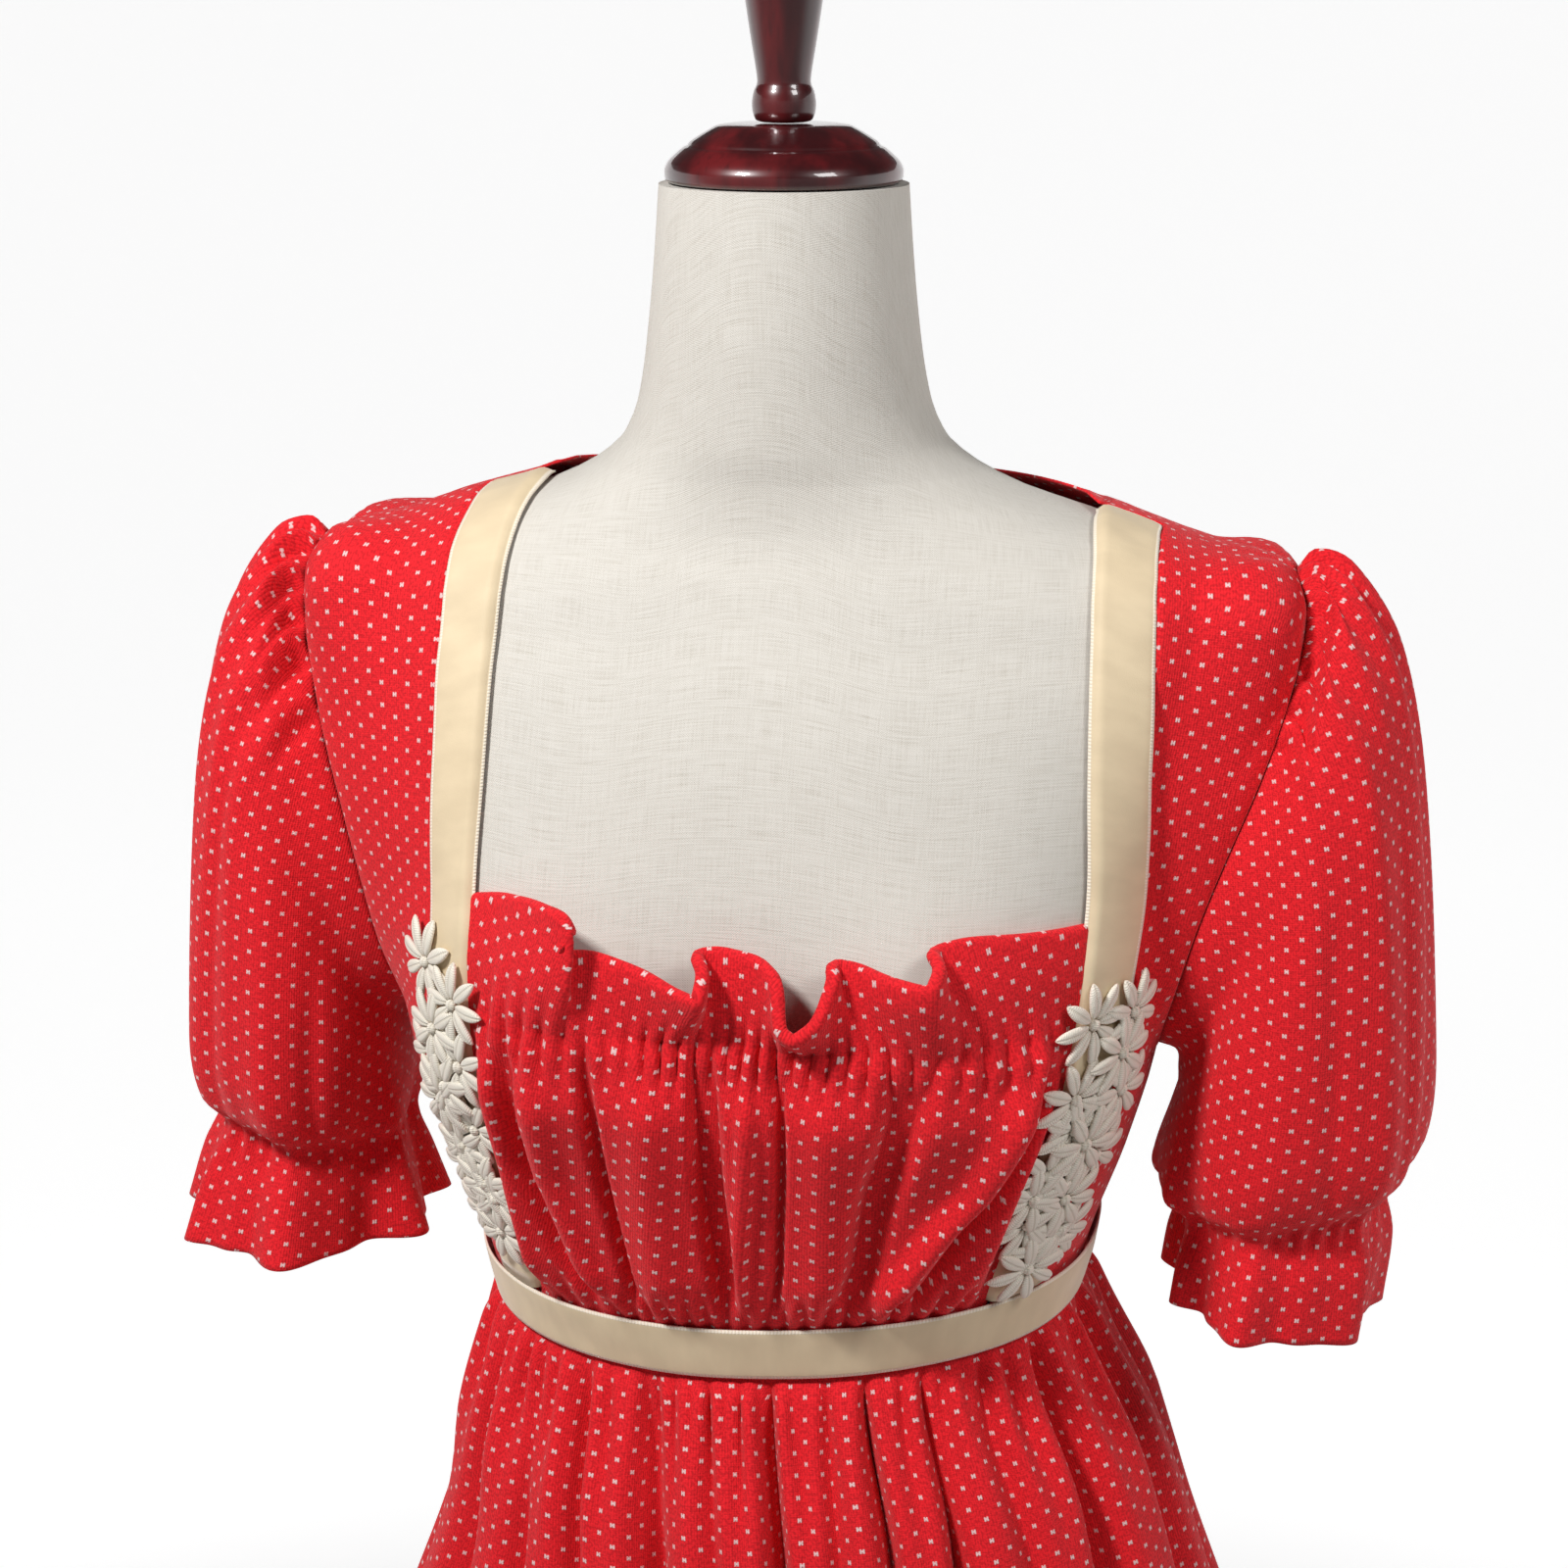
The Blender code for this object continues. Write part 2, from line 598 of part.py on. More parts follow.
def face_outwards(mesh, middle):
    """Turn an open sheet's faces away from its middle line."""
    mesh.normal_update()
    total = 0.0
    for face in mesh.faces:
        away = face.calc_center_median()
        reach = middle(away)
        total += face.calc_area() * sum(face.normal[k] * (away[k] - reach[k]) for k in range(3))
    if total < 0.0:
        bmesh.ops.reverse_faces(mesh, faces=mesh.faces)


def finish_object(name, mesh, colour):
    """Make the object, smooth its round faces and give it its material."""
    data = bpy.data.meshes.new(name)
    mesh.to_mesh(data)
    mesh.free()
    obj = bpy.data.objects.new(name, data)
    bpy.context.scene.collection.objects.link(obj)
    data.shade_smooth()
    data.set_sharp_from_angle(angle=math.radians(50))
    data.materials.append(material(*colour))
    return obj


def material(name, colour, roughness, metallic):
    found = bpy.data.materials.get(name)
    if found:
        return found
    made = bpy.data.materials.new(name)
    made.use_nodes = True
    shader = made.node_tree.nodes["Principled BSDF"]
    shader.inputs["Base Color"].default_value = (*colour, 1.0)
    shader.inputs["Roughness"].default_value = roughness
    shader.inputs["Metallic"].default_value = metallic
    return made


def form_axis(place):
    return (0.0, ring_middle(place[2]), place[2])


def upright_axis(place):
    return (0.0, 0.008, place[2])


def make_form():
    """Torso and neck of the form, whole and smooth."""
    heights = np.array([row[0] for row in FORM_RINGS])
    turns = np.linspace(-np.pi, np.pi, TORSO_COLUMNS + 1)
    points = form_point(turns[None, :], heights[:, None])
    points[:, -1] = points[:, 0]
    laid_grid("form_torso", points, LINEN, wrap=True, fill=True)


def make_turned(name, profile, colour):
    """A turned piece: the profile is spun once round the upright axis."""
    mesh = bmesh.new()
    verts = [mesh.verts.new((radius, 0.0, height)) for radius, height in profile]
    edges = [mesh.edges.new(pair) for pair in zip(verts, verts[1:])]
    bmesh.ops.spin(mesh, geom=verts + edges, cent=(0, 0, 0), axis=(0, 0, 1),
                   angle=2 * math.pi, steps=TURNED_STEPS, use_merge=True, use_duplicate=False)
    bmesh.ops.remove_doubles(mesh, verts=mesh.verts, dist=1e-6)
    bmesh.ops.recalc_face_normals(mesh, faces=mesh.faces)
    return finish_object(name, mesh, colour)


def make_stand():
    """Neck cap, finial, pole and base."""
    make_turned("form_cap", CAP_PROFILE, DARK_WOOD)
    make_turned("form_finial", FINIAL_PROFILE, DARK_WOOD)
    pole = [
        (0.0, BASE_TOP + SEAM),
        (POLE_RADIUS, BASE_TOP + SEAM),
        (POLE_RADIUS, TORSO_BOTTOM - SEAM),
        (0.0, TORSO_BOTTOM - SEAM),
    ]
    make_turned("form_pole", pole, DARK_WOOD)
    make_turned("form_base", BASE_PROFILE, DARK_WOOD)


def front_columns():
    ribbon = np.linspace(0.0, 1.0, RIBBON_COLUMNS + 1)
    rest = np.linspace(1.0, 2.0, SIDE_COLUMNS + 1)[1:]
    return np.concatenate([ribbon, rest])


def make_side_fronts():
    """Side fronts, from the neckline's edge to the side seam and the armhole."""
    for side, name in ((-1, "side_front_left"), (1, "side_front_right")):
        points = half_panel(side, front_columns(), False)
        laid_grid(name, points, RED_CLOTH, wall=CLOTH, middle=form_axis)


def make_back():
    """Back, in one piece from armhole to armhole, with a round neckline."""
    outer = front_columns()
    inner = np.linspace(-1.0, 0.0, NECK_COLUMNS // 2 + 1)[:-1]
    columns = np.concatenate([inner, outer])
    left = half_panel(-1, columns, True)
    right = half_panel(1, columns, True)
    points = np.concatenate([left[:, ::-1], right[:, 1:]], axis=1)
    laid_grid("back", points, RED_CLOTH, wall=CLOTH, middle=form_axis)


def make_front_ribbons():
    """Velvet ribbons along the neckline, from the waist to the shoulder seam."""
    columns = np.linspace(0.0, 1.0, RIBBON_COLUMNS + 1)
    for side, name in ((-1, "ribbon_left"), (1, "ribbon_right")):
        foot = RIBBON_WIDTH / 2 + SEAM
        lines = [panel_column(side, column, False, ON_CLOTH, foot) for column in columns]
        points = np.stack(lines, axis=1)
        laid_grid(name, points, VELVET, wall=RIBBON_WALL, middle=form_axis)


def waist_line(turns, offset, lift):
    heights = waist_height(turns) + offset
    return on_form(turns, heights, np.full_like(heights, lift))


def make_waist_ribbon():
    """Velvet ribbon all round the seam of bodice and skirt."""
    turns = np.linspace(-np.pi, np.pi, WAIST_COLUMNS + 1)
    lift = ON_CLOTH + WAIST_EASE
    rows = [waist_line(turns, offset, lift)
            for offset in (-RIBBON_WIDTH / 2, RIBBON_WIDTH / 2)]
    points = np.stack(rows)
    points[:, -1] = points[:, 0]
    laid_grid("ribbon_waist", points, VELVET, wall=RIBBON_WALL, wrap=True, middle=form_axis)


def fold_wave(phase):
    """A soft fold: broad round crests and narrower troughs, between -1 and 1."""
    return np.cos(phase) - 0.22 * np.cos(2.0 * phase) + 0.22


def bust_edges(height):
    """Turns of the bust panel's two side edges, just inside the ribbons."""
    right = turn_at(neck_inner(height) + dress_shift(height), height)
    left = turn_at(neck_inner(height) - dress_shift(height), height)
    clear = 1.5 * SEAM / 0.11
    return -left + clear, right - clear


def make_bust_panel():
    """Gathered bust panel with its own ruffle above the gathering line."""
    count = BUST_FOLDS * COLUMNS_PER_FOLD + 1
    share = np.linspace(0.0, 1.0, count)
    uneven = 0.35 * np.sin(2 * np.pi * 2.0 * share + 0.6) + 0.25 * np.sin(2 * np.pi * 5.0 * share)
    wave = fold_wave(2 * np.pi * BUST_FOLDS * share + uneven)
    at_sides = smooth_step((np.minimum(share, 1.0 - share) - 0.035) / 0.08)
    rows = []
    for level in BUST_ROWS:
        left, right = bust_edges(np.array(1.10 + (GATHER_LINE - 1.10) * level))
        turns = left + (right - left) * share
        low = waist_height(turns) + SEAM
        heights = low + (GATHER_LINE - low) * level
        left, right = bust_edges(heights)
        turns = left + (right - left) * share
        bulge = 0.0035 * np.sin(np.pi * max(level - 0.09, 0.0)) * at_sides
        bridge = BUST_BRIDGE * np.exp(-(turns / 0.42) ** 2) * smooth_step((level - 0.09) / 0.9)
        rise = bust_fold_rise(level) * (wave + 1.0) * at_sides
        rows.append(on_form(turns, heights, EASE + bulge + bridge + rise))
    rows.extend(ruffle_rows(share, wave, at_sides))
    laid_grid("bust_panel", np.stack(rows), RED_CLOTH, wall=CLOTH, middle=form_axis)


def ruffle_rows(share, wave, at_sides):
    """Rows of the ruffle, from the gathering line to the flared top edge."""
    table = np.array(RUFFLE_EDGE)
    along = np.linspace(0.0, 1.0, len(table))
    dense = np.linspace(0.0, 1.0, 600)
    edge = np.stack([np.interp(dense, along, table[:, k]) for k in range(3)], axis=1)
    soft = np.hanning(31)
    soft = soft / soft.sum()
    for k in range(3):
        padded = np.pad(edge[:, k], 15, mode="edge")
        edge[:, k] = np.convolve(padded, soft, mode="valid")
    scale = np.array([0.22, 1.0, 1.0])
    edge = resample(edge * scale, share) / scale
    rows = []
    for level in RUFFLE_ROWS:
        spread = smooth_step(level * 0.9 + 0.05) if level < 1.0 else 1.0
        across = share + (edge[:, 0] - share) * spread
        heights = GATHER_LINE + 0.0012 + (edge[:, 1] - GATHER_LINE - 0.0012) * level
        left, right = bust_edges(heights)
        turns = left + (right - left) * across
        bridge = BUST_BRIDGE * np.exp(-(turns / 0.42) ** 2) * (1.0 - 0.5 * level)
        gathered = 0.0016 * (wave + 1.0) * at_sides * (1.0 - level)
        lift = EASE + bridge + gathered + (edge[:, 2] - EASE) * level ** 0.8
        rows.append(on_form(turns, heights, lift))
    return rows


def skirt_turns():
    """Turns of the skirt's columns: each valley's bottom and sides, and the next crest."""
    turns = []
    for k, (middle, _, half) in enumerate(SKIRT_VALLEYS):
        following = SKIRT_VALLEYS[(k + 1) % len(SKIRT_VALLEYS)]
        start = middle + VALLEY_SIDE * half
        end = middle + (following[0] - middle) % 360 - VALLEY_SIDE * following[2]
        turns.extend([middle, start, (start + end) / 2.0, end])
    turns.append(SKIRT_VALLEYS[0][0] + 360.0)
    return np.radians(turns)


def skirt_valleys(turns):
    """Depth of the skirt's valleys at each turn."""
    depth = np.zeros_like(turns)
    for middle, deep, half in SKIRT_VALLEYS:
        gap = (np.degrees(turns) - middle + 180.0) % 360.0 - 180.0
        depth += deep * np.exp(-(gap / half) ** 2)
    return depth


def make_skirt():
    """Gathered skirt: one closed wall whose uneven folds deepen towards the hem."""
    turns = skirt_turns()
    wave = SKIRT_CREST - SKIRT_FALL * skirt_valleys(turns)
    top = waist_line(turns, 0.0, EASE)
    ahead = waist_line(turns + 0.01, 0.0, EASE) - waist_line(turns - 0.01, 0.0, EASE)
    away = np.stack([ahead[:, 1], -ahead[:, 0]], axis=1)
    away = away / np.linalg.norm(away, axis=1, keepdims=True)
    drop_to_hem = SKIRT_ROWS[-1][0]
    rows = []
    for drop, flare, fold in SKIRT_ROWS:
        down = (top[:, 2] - HEM) * drop / drop_to_hem
        near_waist = 1.0 - smooth_step(drop / SKIRT_HUG[1])
        height = top[:, 2] - (drop * near_waist + down * (1.0 - near_waist))
        hugging = 1.0 - smooth_step((drop - SKIRT_HUG[0]) / (SKIRT_HUG[1] - SKIRT_HUG[0]))
        held = top + hugging * (on_form(turns, height, EASE) - top)
        reach = flare + fold * wave
        sway = SKIRT_SWAY * smooth_step(drop / SKIRT_SWAY_DROP)
        row = np.stack([held[:, 0] + away[:, 0] * reach + sway,
                        held[:, 1] + away[:, 1] * reach, height], axis=1)
        rows.append(keep_off(row, SKIRT_OFF_HIPS) if drop > SKIRT_HUG[1] else row)
    points = np.stack(rows)
    points[:, -1] = points[:, 0]
    laid_grid("skirt", points, RED_CLOTH, wall=CLOTH, wrap=True, middle=upright_axis)


def sleeve_turns():
    """Turns round the sleeve, 0 at the top, closer together over the gathered cap."""
    cap = np.linspace(-CAP_REACH, CAP_REACH, CAP_COLUMNS + 1)
    rest = np.linspace(CAP_REACH, 2 * math.pi - CAP_REACH, SLEEVE_COLUMNS - CAP_COLUMNS + 1)
    return np.concatenate([cap, rest[1:]])


def seam_ring(side, turns):
    """The sleeve's first ring: the bodice's armhole edge, a seam gap away from it."""
    wrapped = np.mod(turns + math.pi, 2 * math.pi) - math.pi
    climb = math.pi - np.abs(wrapped)
    knots = math.pi * np.concatenate([[0.0], armhole_shares()])
    edges = [armhole_point(side, knots, at_back) for at_back in (False, True)]
    lines = [np.stack([np.interp(climb, knots, edge[:, k]) for k in range(3)], axis=1)
             for edge in edges]
    ring = np.where((wrapped > 0.0)[:, None], lines[0], lines[1])
    ring[:, 0] += side * ARMHOLE_GAP
    return ring


def cap_folds(turns):
    """Small folds over the sleeve's cap, none under the arm."""
    wrapped = np.mod(turns + math.pi, 2 * math.pi) - math.pi
    cap = np.clip(1.0 - np.abs(wrapped) / (CAP_REACH * 1.05), 0.0, 1.0) ** 0.4
    return cap * np.cos(math.pi * SLEEVE_GATHERS * wrapped / CAP_REACH)


def rising_ring(side, turns, seam):
    """The ring just past the seam, where the gathered cap swells out of the armhole."""
    middle = (ARMPIT + SHOULDER_TIP) / 2.0
    away = np.stack([seam[:, 1] - ARMHOLE_MIDDLE, seam[:, 2] - middle], axis=1)
    away = away / np.linalg.norm(away, axis=1, keepdims=True)
    swell = CAP_SWELL * (1.0 + 0.35 * np.cos(turns)) + CAP_GATHER * cap_folds(turns)
    risen = seam.copy()
    risen[:, 0] += side * CAP_STEP
    risen[:, 1] += away[:, 0] * swell
    risen[:, 2] += away[:, 1] * swell
    return risen


def sleeve_ring(side, turns, row):
    """A ring of the sleeve between its outer and its inner edge."""
    out_x, out_z, in_x, in_z, bow, front, back, gathers, cuff = row
    along = np.cos(turns)
    across = np.sin(turns)
    out_x = out_x + side * ARMHOLE_SHIFT
    x = (out_x + in_x) / 2 + (out_x - in_x) / 2 * along + bow * across ** 2
    z = (out_z + in_z) / 2 + (out_z - in_z) / 2 * along
    middle = (front + back) / 2
    y = middle - (back - front) / 2 * across
    folds = gathers * cap_folds(turns)
    folds = folds + cuff * fold_wave(CUFF_FOLDS * turns + 0.5 * side + 0.7 * np.sin(2 * turns))
    length = math.hypot(out_x - in_x, out_z - in_z)
    x = x + folds * along * (out_x - in_x) / length
    z = z + folds * along * (out_z - in_z) / length
    y = y - folds * across
    return np.stack([side * x, y, z], axis=1)


def make_sleeves():
    """Puff sleeves: gathered cap, elastic above the cuff and a ruffle below it."""
    turns = sleeve_turns()
    for side, name, rows in ((-1, "sleeve_left", LEFT_SLEEVE_ROWS),
                             (1, "sleeve_right", RIGHT_SLEEVE_ROWS)):
        seam = seam_ring(side, turns)
        rings = [seam, rising_ring(side, turns, seam)]
        rings.extend(sleeve_ring(side, turns, row) for row in rows)
        points = np.stack(rings)
        points[:, -1] = points[:, 0]
        middles = points[:, :-1].mean(axis=1)

        def nearest_middle(place, middles=middles):
            gaps = [sum((place[k] - m[k]) ** 2 for k in range(3)) for m in middles]
            return middles[int(np.argmin(gaps))]

        laid_grid(name, points, RED_CLOTH, wall=CLOTH, wrap=True, middle=nearest_middle,
                  grow=-1.0)


def lace_point(side, height, aside, lift):
    """Point on the lace: aside is measured from the ribbon's middle, outwards."""
    middle = (turn_at(neck_inner(height) + side * dress_shift(height), height)
              + turn_at(neck_outer(height) + side * dress_shift(height), height)) / 2.0
    small = 0.01
    span = form_point(middle + small, height) - form_point(middle - small, height)
    reach = np.linalg.norm(span, axis=-1) / (2.0 * small)
    point = on_form(middle + aside / reach, height, lift)
    point[..., 0] *= side
    return point


def daisy(name, side, low, aside, spin, under_lift):
    """One closed flower: eight ridged petals round a raised knot."""
    mesh = bmesh.new()
    outline = []
    for petal in range(PETALS):
        turn = 2 * math.pi * petal / PETALS + spin
        outline.append((turn - math.pi / PETALS, PETAL_NOTCH, 0.5))
        outline.append((turn - PETAL_TIP_TURN, PETAL_REACH, 0.3))
        outline.append((turn + PETAL_TIP_TURN, PETAL_REACH, 0.3))

    def place(turn, reach, lift):
        height = low + reach * math.sin(turn)
        at = lace_point(side, np.array(height), aside + reach * math.cos(turn), np.array(lift))
        return mesh.verts.new(at)

    under = [place(turn, reach, under_lift) for turn, reach, _ in outline]
    over = [place(turn, reach, under_lift + FLOWER_WALL) for turn, reach, _ in outline]
    knot = []
    for petal in range(PETALS):
        turn = 2 * math.pi * petal / PETALS + spin
        knot.append(place(turn, KNOT_REACH, under_lift + FLOWER_WALL + FLOWER_RIDGE))
    count = len(outline)
    under_middle = place(0.0, 0.0, under_lift)
    for k in range(count):
        after = (k + 1) % count
        mesh.faces.new((under_middle, under[after], under[k]))
        mesh.faces.new((under[k], over[k], over[after], under[after]))
    mesh.faces.new(knot)
    for petal in range(PETALS):
        notch, first, second = over[3 * petal], over[3 * petal + 1], over[3 * petal + 2]
        next_notch = over[(3 * petal + 3) % count]
        before = knot[petal - 1]
        here = knot[petal]
        mesh.faces.new((before, notch, here))
        mesh.faces.new((notch, first, here))
        mesh.faces.new((first, second, here))
        mesh.faces.new((second, next_notch, here))
    bmesh.ops.triangulate(mesh, faces=mesh.faces)
    bmesh.ops.recalc_face_normals(mesh, faces=mesh.faces)
    return finish_object(name, mesh, LACE)


def join_objects(objects, name):
    """Several separate closed shells as one object."""
    mesh = bmesh.new()
    for obj in objects:
        mesh.from_mesh(obj.data)
        bpy.data.objects.remove(obj)
    return finish_object(name, mesh, LACE)


def make_lace():
    """Daisy lace on each front ribbon, two flowers abreast at the top, one at the foot."""
    for side, name in ((-1, "lace_left"), (1, "lace_right")):
        rows = {0: [], 1: []}
        foot = waist_height(side * LACE_TURN) + RIBBON_WIDTH / 2 + PETAL_REACH + LACE_FOOT
        for flower in range(LACE_FLOWERS):
            share = flower / (LACE_FLOWERS - 1)
            aside = LACE_ASIDE[0] + (LACE_ASIDE[1] - LACE_ASIDE[0]) * share
            way = 1.0 if flower % 2 else -0.7
            low = foot + LACE_STEP * flower
            lift = ON_RIBBON + (FLOWER_OVER if flower % 2 else 0.0)
            made = daisy("flower", side, low, aside * way, 0.35 * flower, lift)
            rows[flower % 2].append(made)
        lace = join_objects(rows[0], name)
        others = join_objects(rows[1], name + "_others")
        others.hide_render = True
        others.display_type = "WIRE"
        union = lace.modifiers.new("sewn_together", "BOOLEAN")
        union.operation = "UNION"
        union.object = others


def main():
    for obj in list(bpy.data.objects):
        bpy.data.objects.remove(obj)
    make_form()
    make_stand()
    make_side_fronts()
    make_back()
    make_bust_panel()
    make_front_ribbons()
    make_waist_ribbon()
    make_lace()
    make_skirt()
    make_sleeves()


main()
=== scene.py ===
"""Looks of the babydoll dress on its dress form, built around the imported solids.

Every cloth piece is a thin shell on the form of its solid, with the gathers, folds and
creases that the solid leaves out, and a UV map in metres of flat cloth, so that dots, knit
and pile keep their real size.  Metres, +Z up, front towards -Y, +X to the viewer's right.
"""
import math

import bmesh
import bpy
import numpy as np
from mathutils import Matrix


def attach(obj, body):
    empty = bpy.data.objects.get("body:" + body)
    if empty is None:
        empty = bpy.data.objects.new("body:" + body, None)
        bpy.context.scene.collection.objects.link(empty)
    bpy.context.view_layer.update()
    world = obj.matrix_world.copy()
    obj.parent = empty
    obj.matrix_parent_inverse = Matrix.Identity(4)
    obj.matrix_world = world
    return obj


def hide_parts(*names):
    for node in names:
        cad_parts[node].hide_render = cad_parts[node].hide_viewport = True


bl_info = {
    "name": "Babydoll dress on a dress form",
    "version": (1, 0, 0),
    "blender": (4, 5, 0),
    "location": "3D View > Sidebar > Dress",
    "description": "Cloth, trims, form and studio of a red pin-dotted babydoll dress",
    "category": "Add Mesh",
}

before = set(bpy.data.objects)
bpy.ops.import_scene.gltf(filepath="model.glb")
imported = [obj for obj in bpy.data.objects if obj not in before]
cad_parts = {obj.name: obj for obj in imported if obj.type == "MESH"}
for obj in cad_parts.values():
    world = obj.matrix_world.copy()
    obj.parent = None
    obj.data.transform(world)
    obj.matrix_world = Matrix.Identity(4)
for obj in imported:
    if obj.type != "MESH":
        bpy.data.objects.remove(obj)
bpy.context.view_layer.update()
BODY = "root"

# Cloth and seams
MM = 0.001
EASE = 0.0022             # inner face of the cloth above the form
BACK_EASE = 0.0018        # and as much more at the middle of the back
SHOULDER_EASE = 0.0024    # and as much more where the shoulder bends sharply
SEAM = 0.0003             # gap between two pieces at a seam
ON_CLOTH = EASE + 0.0015 + 1.5 * SEAM
ON_RIBBON = ON_CLOTH + 0.0011 + SEAM
RIBBON_WIDTH = 0.023

# The form's own mesh
FORM_ROWS = 150
FORM_COLUMNS = 161
FORM_GRAIN_ROW = 60       # its linen is measured across this row

# Heights above the floor
TORSO_BOTTOM = 0.800
HEM = 0.585
ARMPIT = 1.188
SHOULDER_TIP = 1.380
SHOULDER_WIDEST = 1.360
SHOULDER_OUT = 0.1820
NECK_TOP = 1.521
GATHER_LINE = 1.219
BACK_NECK = 1.400         # the back neckline in the middle

# Rings of the form: height, half width, front depth, back depth, middle (y), squareness
FORM_RINGS = [
    (0.800, 0.150, 0.084, 0.100, 0.0080, 2.2),
    (0.820, 0.163, 0.092, 0.112, 0.0080, 2.2),
    (0.860, 0.168, 0.098, 0.118, 0.0080, 2.2),
    (0.900, 0.160, 0.098, 0.112, 0.0080, 2.2),
    (0.960, 0.130, 0.088, 0.090, 0.0080, 2.2),
    (1.010, 0.112, 0.080, 0.078, 0.0080, 2.2),
    (1.060, 0.115, 0.084, 0.078, 0.0080, 2.2),
    (1.100, 0.122, 0.092, 0.084, 0.0080, 2.3),
    (1.150, 0.137, 0.104, 0.090, 0.0080, 2.5),
    (1.200, 0.148, 0.114, 0.095, 0.0080, 2.7),
    (1.240, 0.152, 0.115, 0.100, 0.0080, 2.7),
    (1.262, 0.155, 0.111, 0.102, 0.0080, 2.6),
    (1.290, 0.163, 0.104, 0.103, 0.0090, 2.5),
    (1.320, 0.174, 0.095, 0.102, 0.0100, 2.3),
    (1.343, 0.183, 0.085, 0.097, 0.0110, 2.2),
    (1.359, 0.188, 0.077, 0.091, 0.0120, 2.1),
    (1.369, 0.186, 0.072, 0.086, 0.0120, 2.1),
    (1.378, 0.174, 0.068, 0.082, 0.0120, 2.0),
    (1.386, 0.151, 0.064, 0.077, 0.0120, 2.0),
    (1.395, 0.125, 0.060, 0.072, 0.0110, 2.0),
    (1.404, 0.097, 0.057, 0.066, 0.0090, 2.0),
    (1.415, 0.075, 0.054, 0.060, 0.0060, 2.0),
    (1.426, 0.0625, 0.0525, 0.056, 0.0030, 2.0),
    (1.441, 0.056, 0.0515, 0.0525, 0.0015, 2.0),
    (1.473, 0.051, 0.050, 0.050, 0.0000, 2.0),
    (1.500, 0.0485, 0.0485, 0.0485, 0.0000, 2.0),
    (1.521, 0.047, 0.047, 0.047, 0.0000, 2.0),
]
BUST_RISE = 0.012
BUST_ACROSS = 0.074
BUST_HEIGHT = 1.222
BUST_SPREAD = (0.038, 0.044)

# Front ribbons: height, inner edge, outer edge, both from the neckline's middle
NECKLINE = [
    (1.060, 0.0800, 0.0980),
    (1.100, 0.0870, 0.1055),
    (1.150, 0.0985, 0.1155),
    (1.200, 0.1085, 0.1250),
    (1.240, 0.1115, 0.1285),
    (1.275, 0.1130, 0.1310),
    (1.310, 0.1120, 0.1320),
    (1.345, 0.1115, 0.1328),
    (1.380, 0.1105, 0.1325),
    (1.400, 0.1070, 0.1285),
    (1.410, 0.1000, 0.1215),
]
# Height, shift of the neckline's middle to +X
DRESS_SHIFT = [
    (1.060, 0.000),
    (1.100, 0.001),
    (1.150, 0.004),
    (1.200, 0.009),
    (1.275, 0.012),
    (1.410, 0.011),
]
# Armhole seam: height, distance from the form's middle
ARMHOLE_OUT = [
    (1.188, 0.1500),
    (1.200, 0.1520),
    (1.222, 0.1570),
    (1.250, 0.1635),
    (1.280, 0.1725),
    (1.305, 0.1810),
    (1.329, 0.1880),
    (1.350, 0.1930),
    (1.366, 0.1945),
    (1.380, 0.1900),
]
ARMHOLE_SHIFT = 0.005     # the armholes lie this far to +X
ARMHOLE_GAP = 0.0010      # between the armhole and the sleeve
ARMHOLE_MIDDLE = 0.006
ARMHOLE_DEPTH = 0.044
ARMHOLE_LOW_FRONT = 0.35  # how much fuller the armhole's lower half is, in front and behind
ARMHOLE_LOW_BACK = 0.10
ARMHOLE_CROWDING = 1.5    # power that crowds the rows towards the shoulder
COLUMN_FOOT = 1.09        # height at which the first guess of a column starts
COLUMN_STEPS = 400
# Soft rises of the panels: height at which one starts, and how far above it is full
ARMHOLE_SHIFT_RISE = (1.20, 0.14)
BACK_EASE_RISE = (1.125, 0.08)
SHOULDER_RISE = (1.330, 0.030)
UPPER_COLUMNS = (1.300, 0.065)        # columns go from shares of a turn to set distances
PULLED_COLUMNS = (1.15, 0.85)         # here from this column on: pull to the armhole's edge
SEAM_SHARE = 0.30         # share of a panel's height that meets the side seam
UNDER_RIBBON = 0.16       # a side front's edge lies this share of the ribbon's width inside it
EDGE_LIFT = 0.0012        # the ribbon's inner edge bends down this close to the form
RIBBON_CLEAR = 0.0003     # ribbon off the cloth at its selvedges
RIBBON_PILE = 0.0003      # and as much more where the pile stands
RIBBON_WAVE = 0.00010
SELVEDGE = (0.03, 0.08)   # shares of the width: the flat selvedge, and the rise to the pile
SEAM_ROWS = 16
ARMHOLE_ROWS = 44

# Waist ribbon
WAIST_FRONT = 1.0815
WAIST_SIDE_RISE = 0.013
WAIST_TILT = 0.006
WAIST_EASE = 0.0008

# Bust panel, in metres, and in shares of its width and of its height up to the gathering line
BUST_COLUMNS = 261
BUST_ROWS = 52
RUFFLE_ROWS = 19
GRAIN_COLUMN = 132        # the cloth's grain is upright at this column
PANEL_UNDER = 0.0017      # the panel's side edges lie this far under the ribbons
PANEL_REACH = 0.11        # the form's reach from its axis at those edges
PANEL_FOOT = 1.10         # height at which the first guess of a column starts
FLAT_SIDES = (0.010, 0.05)            # flat margin at the sides, and the rise after it
BUST_BRIDGE = 0.006       # the panel spans the hollow between the breasts this far off it
BRIDGE_SPREAD = 0.42      # over this turn
BRIDGE_RISE = (0.09, 0.9)             # level at which it starts, and how far on it is full
PANEL_PUFF = 0.0085       # cloth off the form between the gathers
PUFF_RISE = (0.07, 0.22)              # level at which it starts, and how far on it is full
PUFF_FALL = (0.80, 0.20)              # the same for its fall
PUFF_LOST = 0.75          # share of it that is lost there
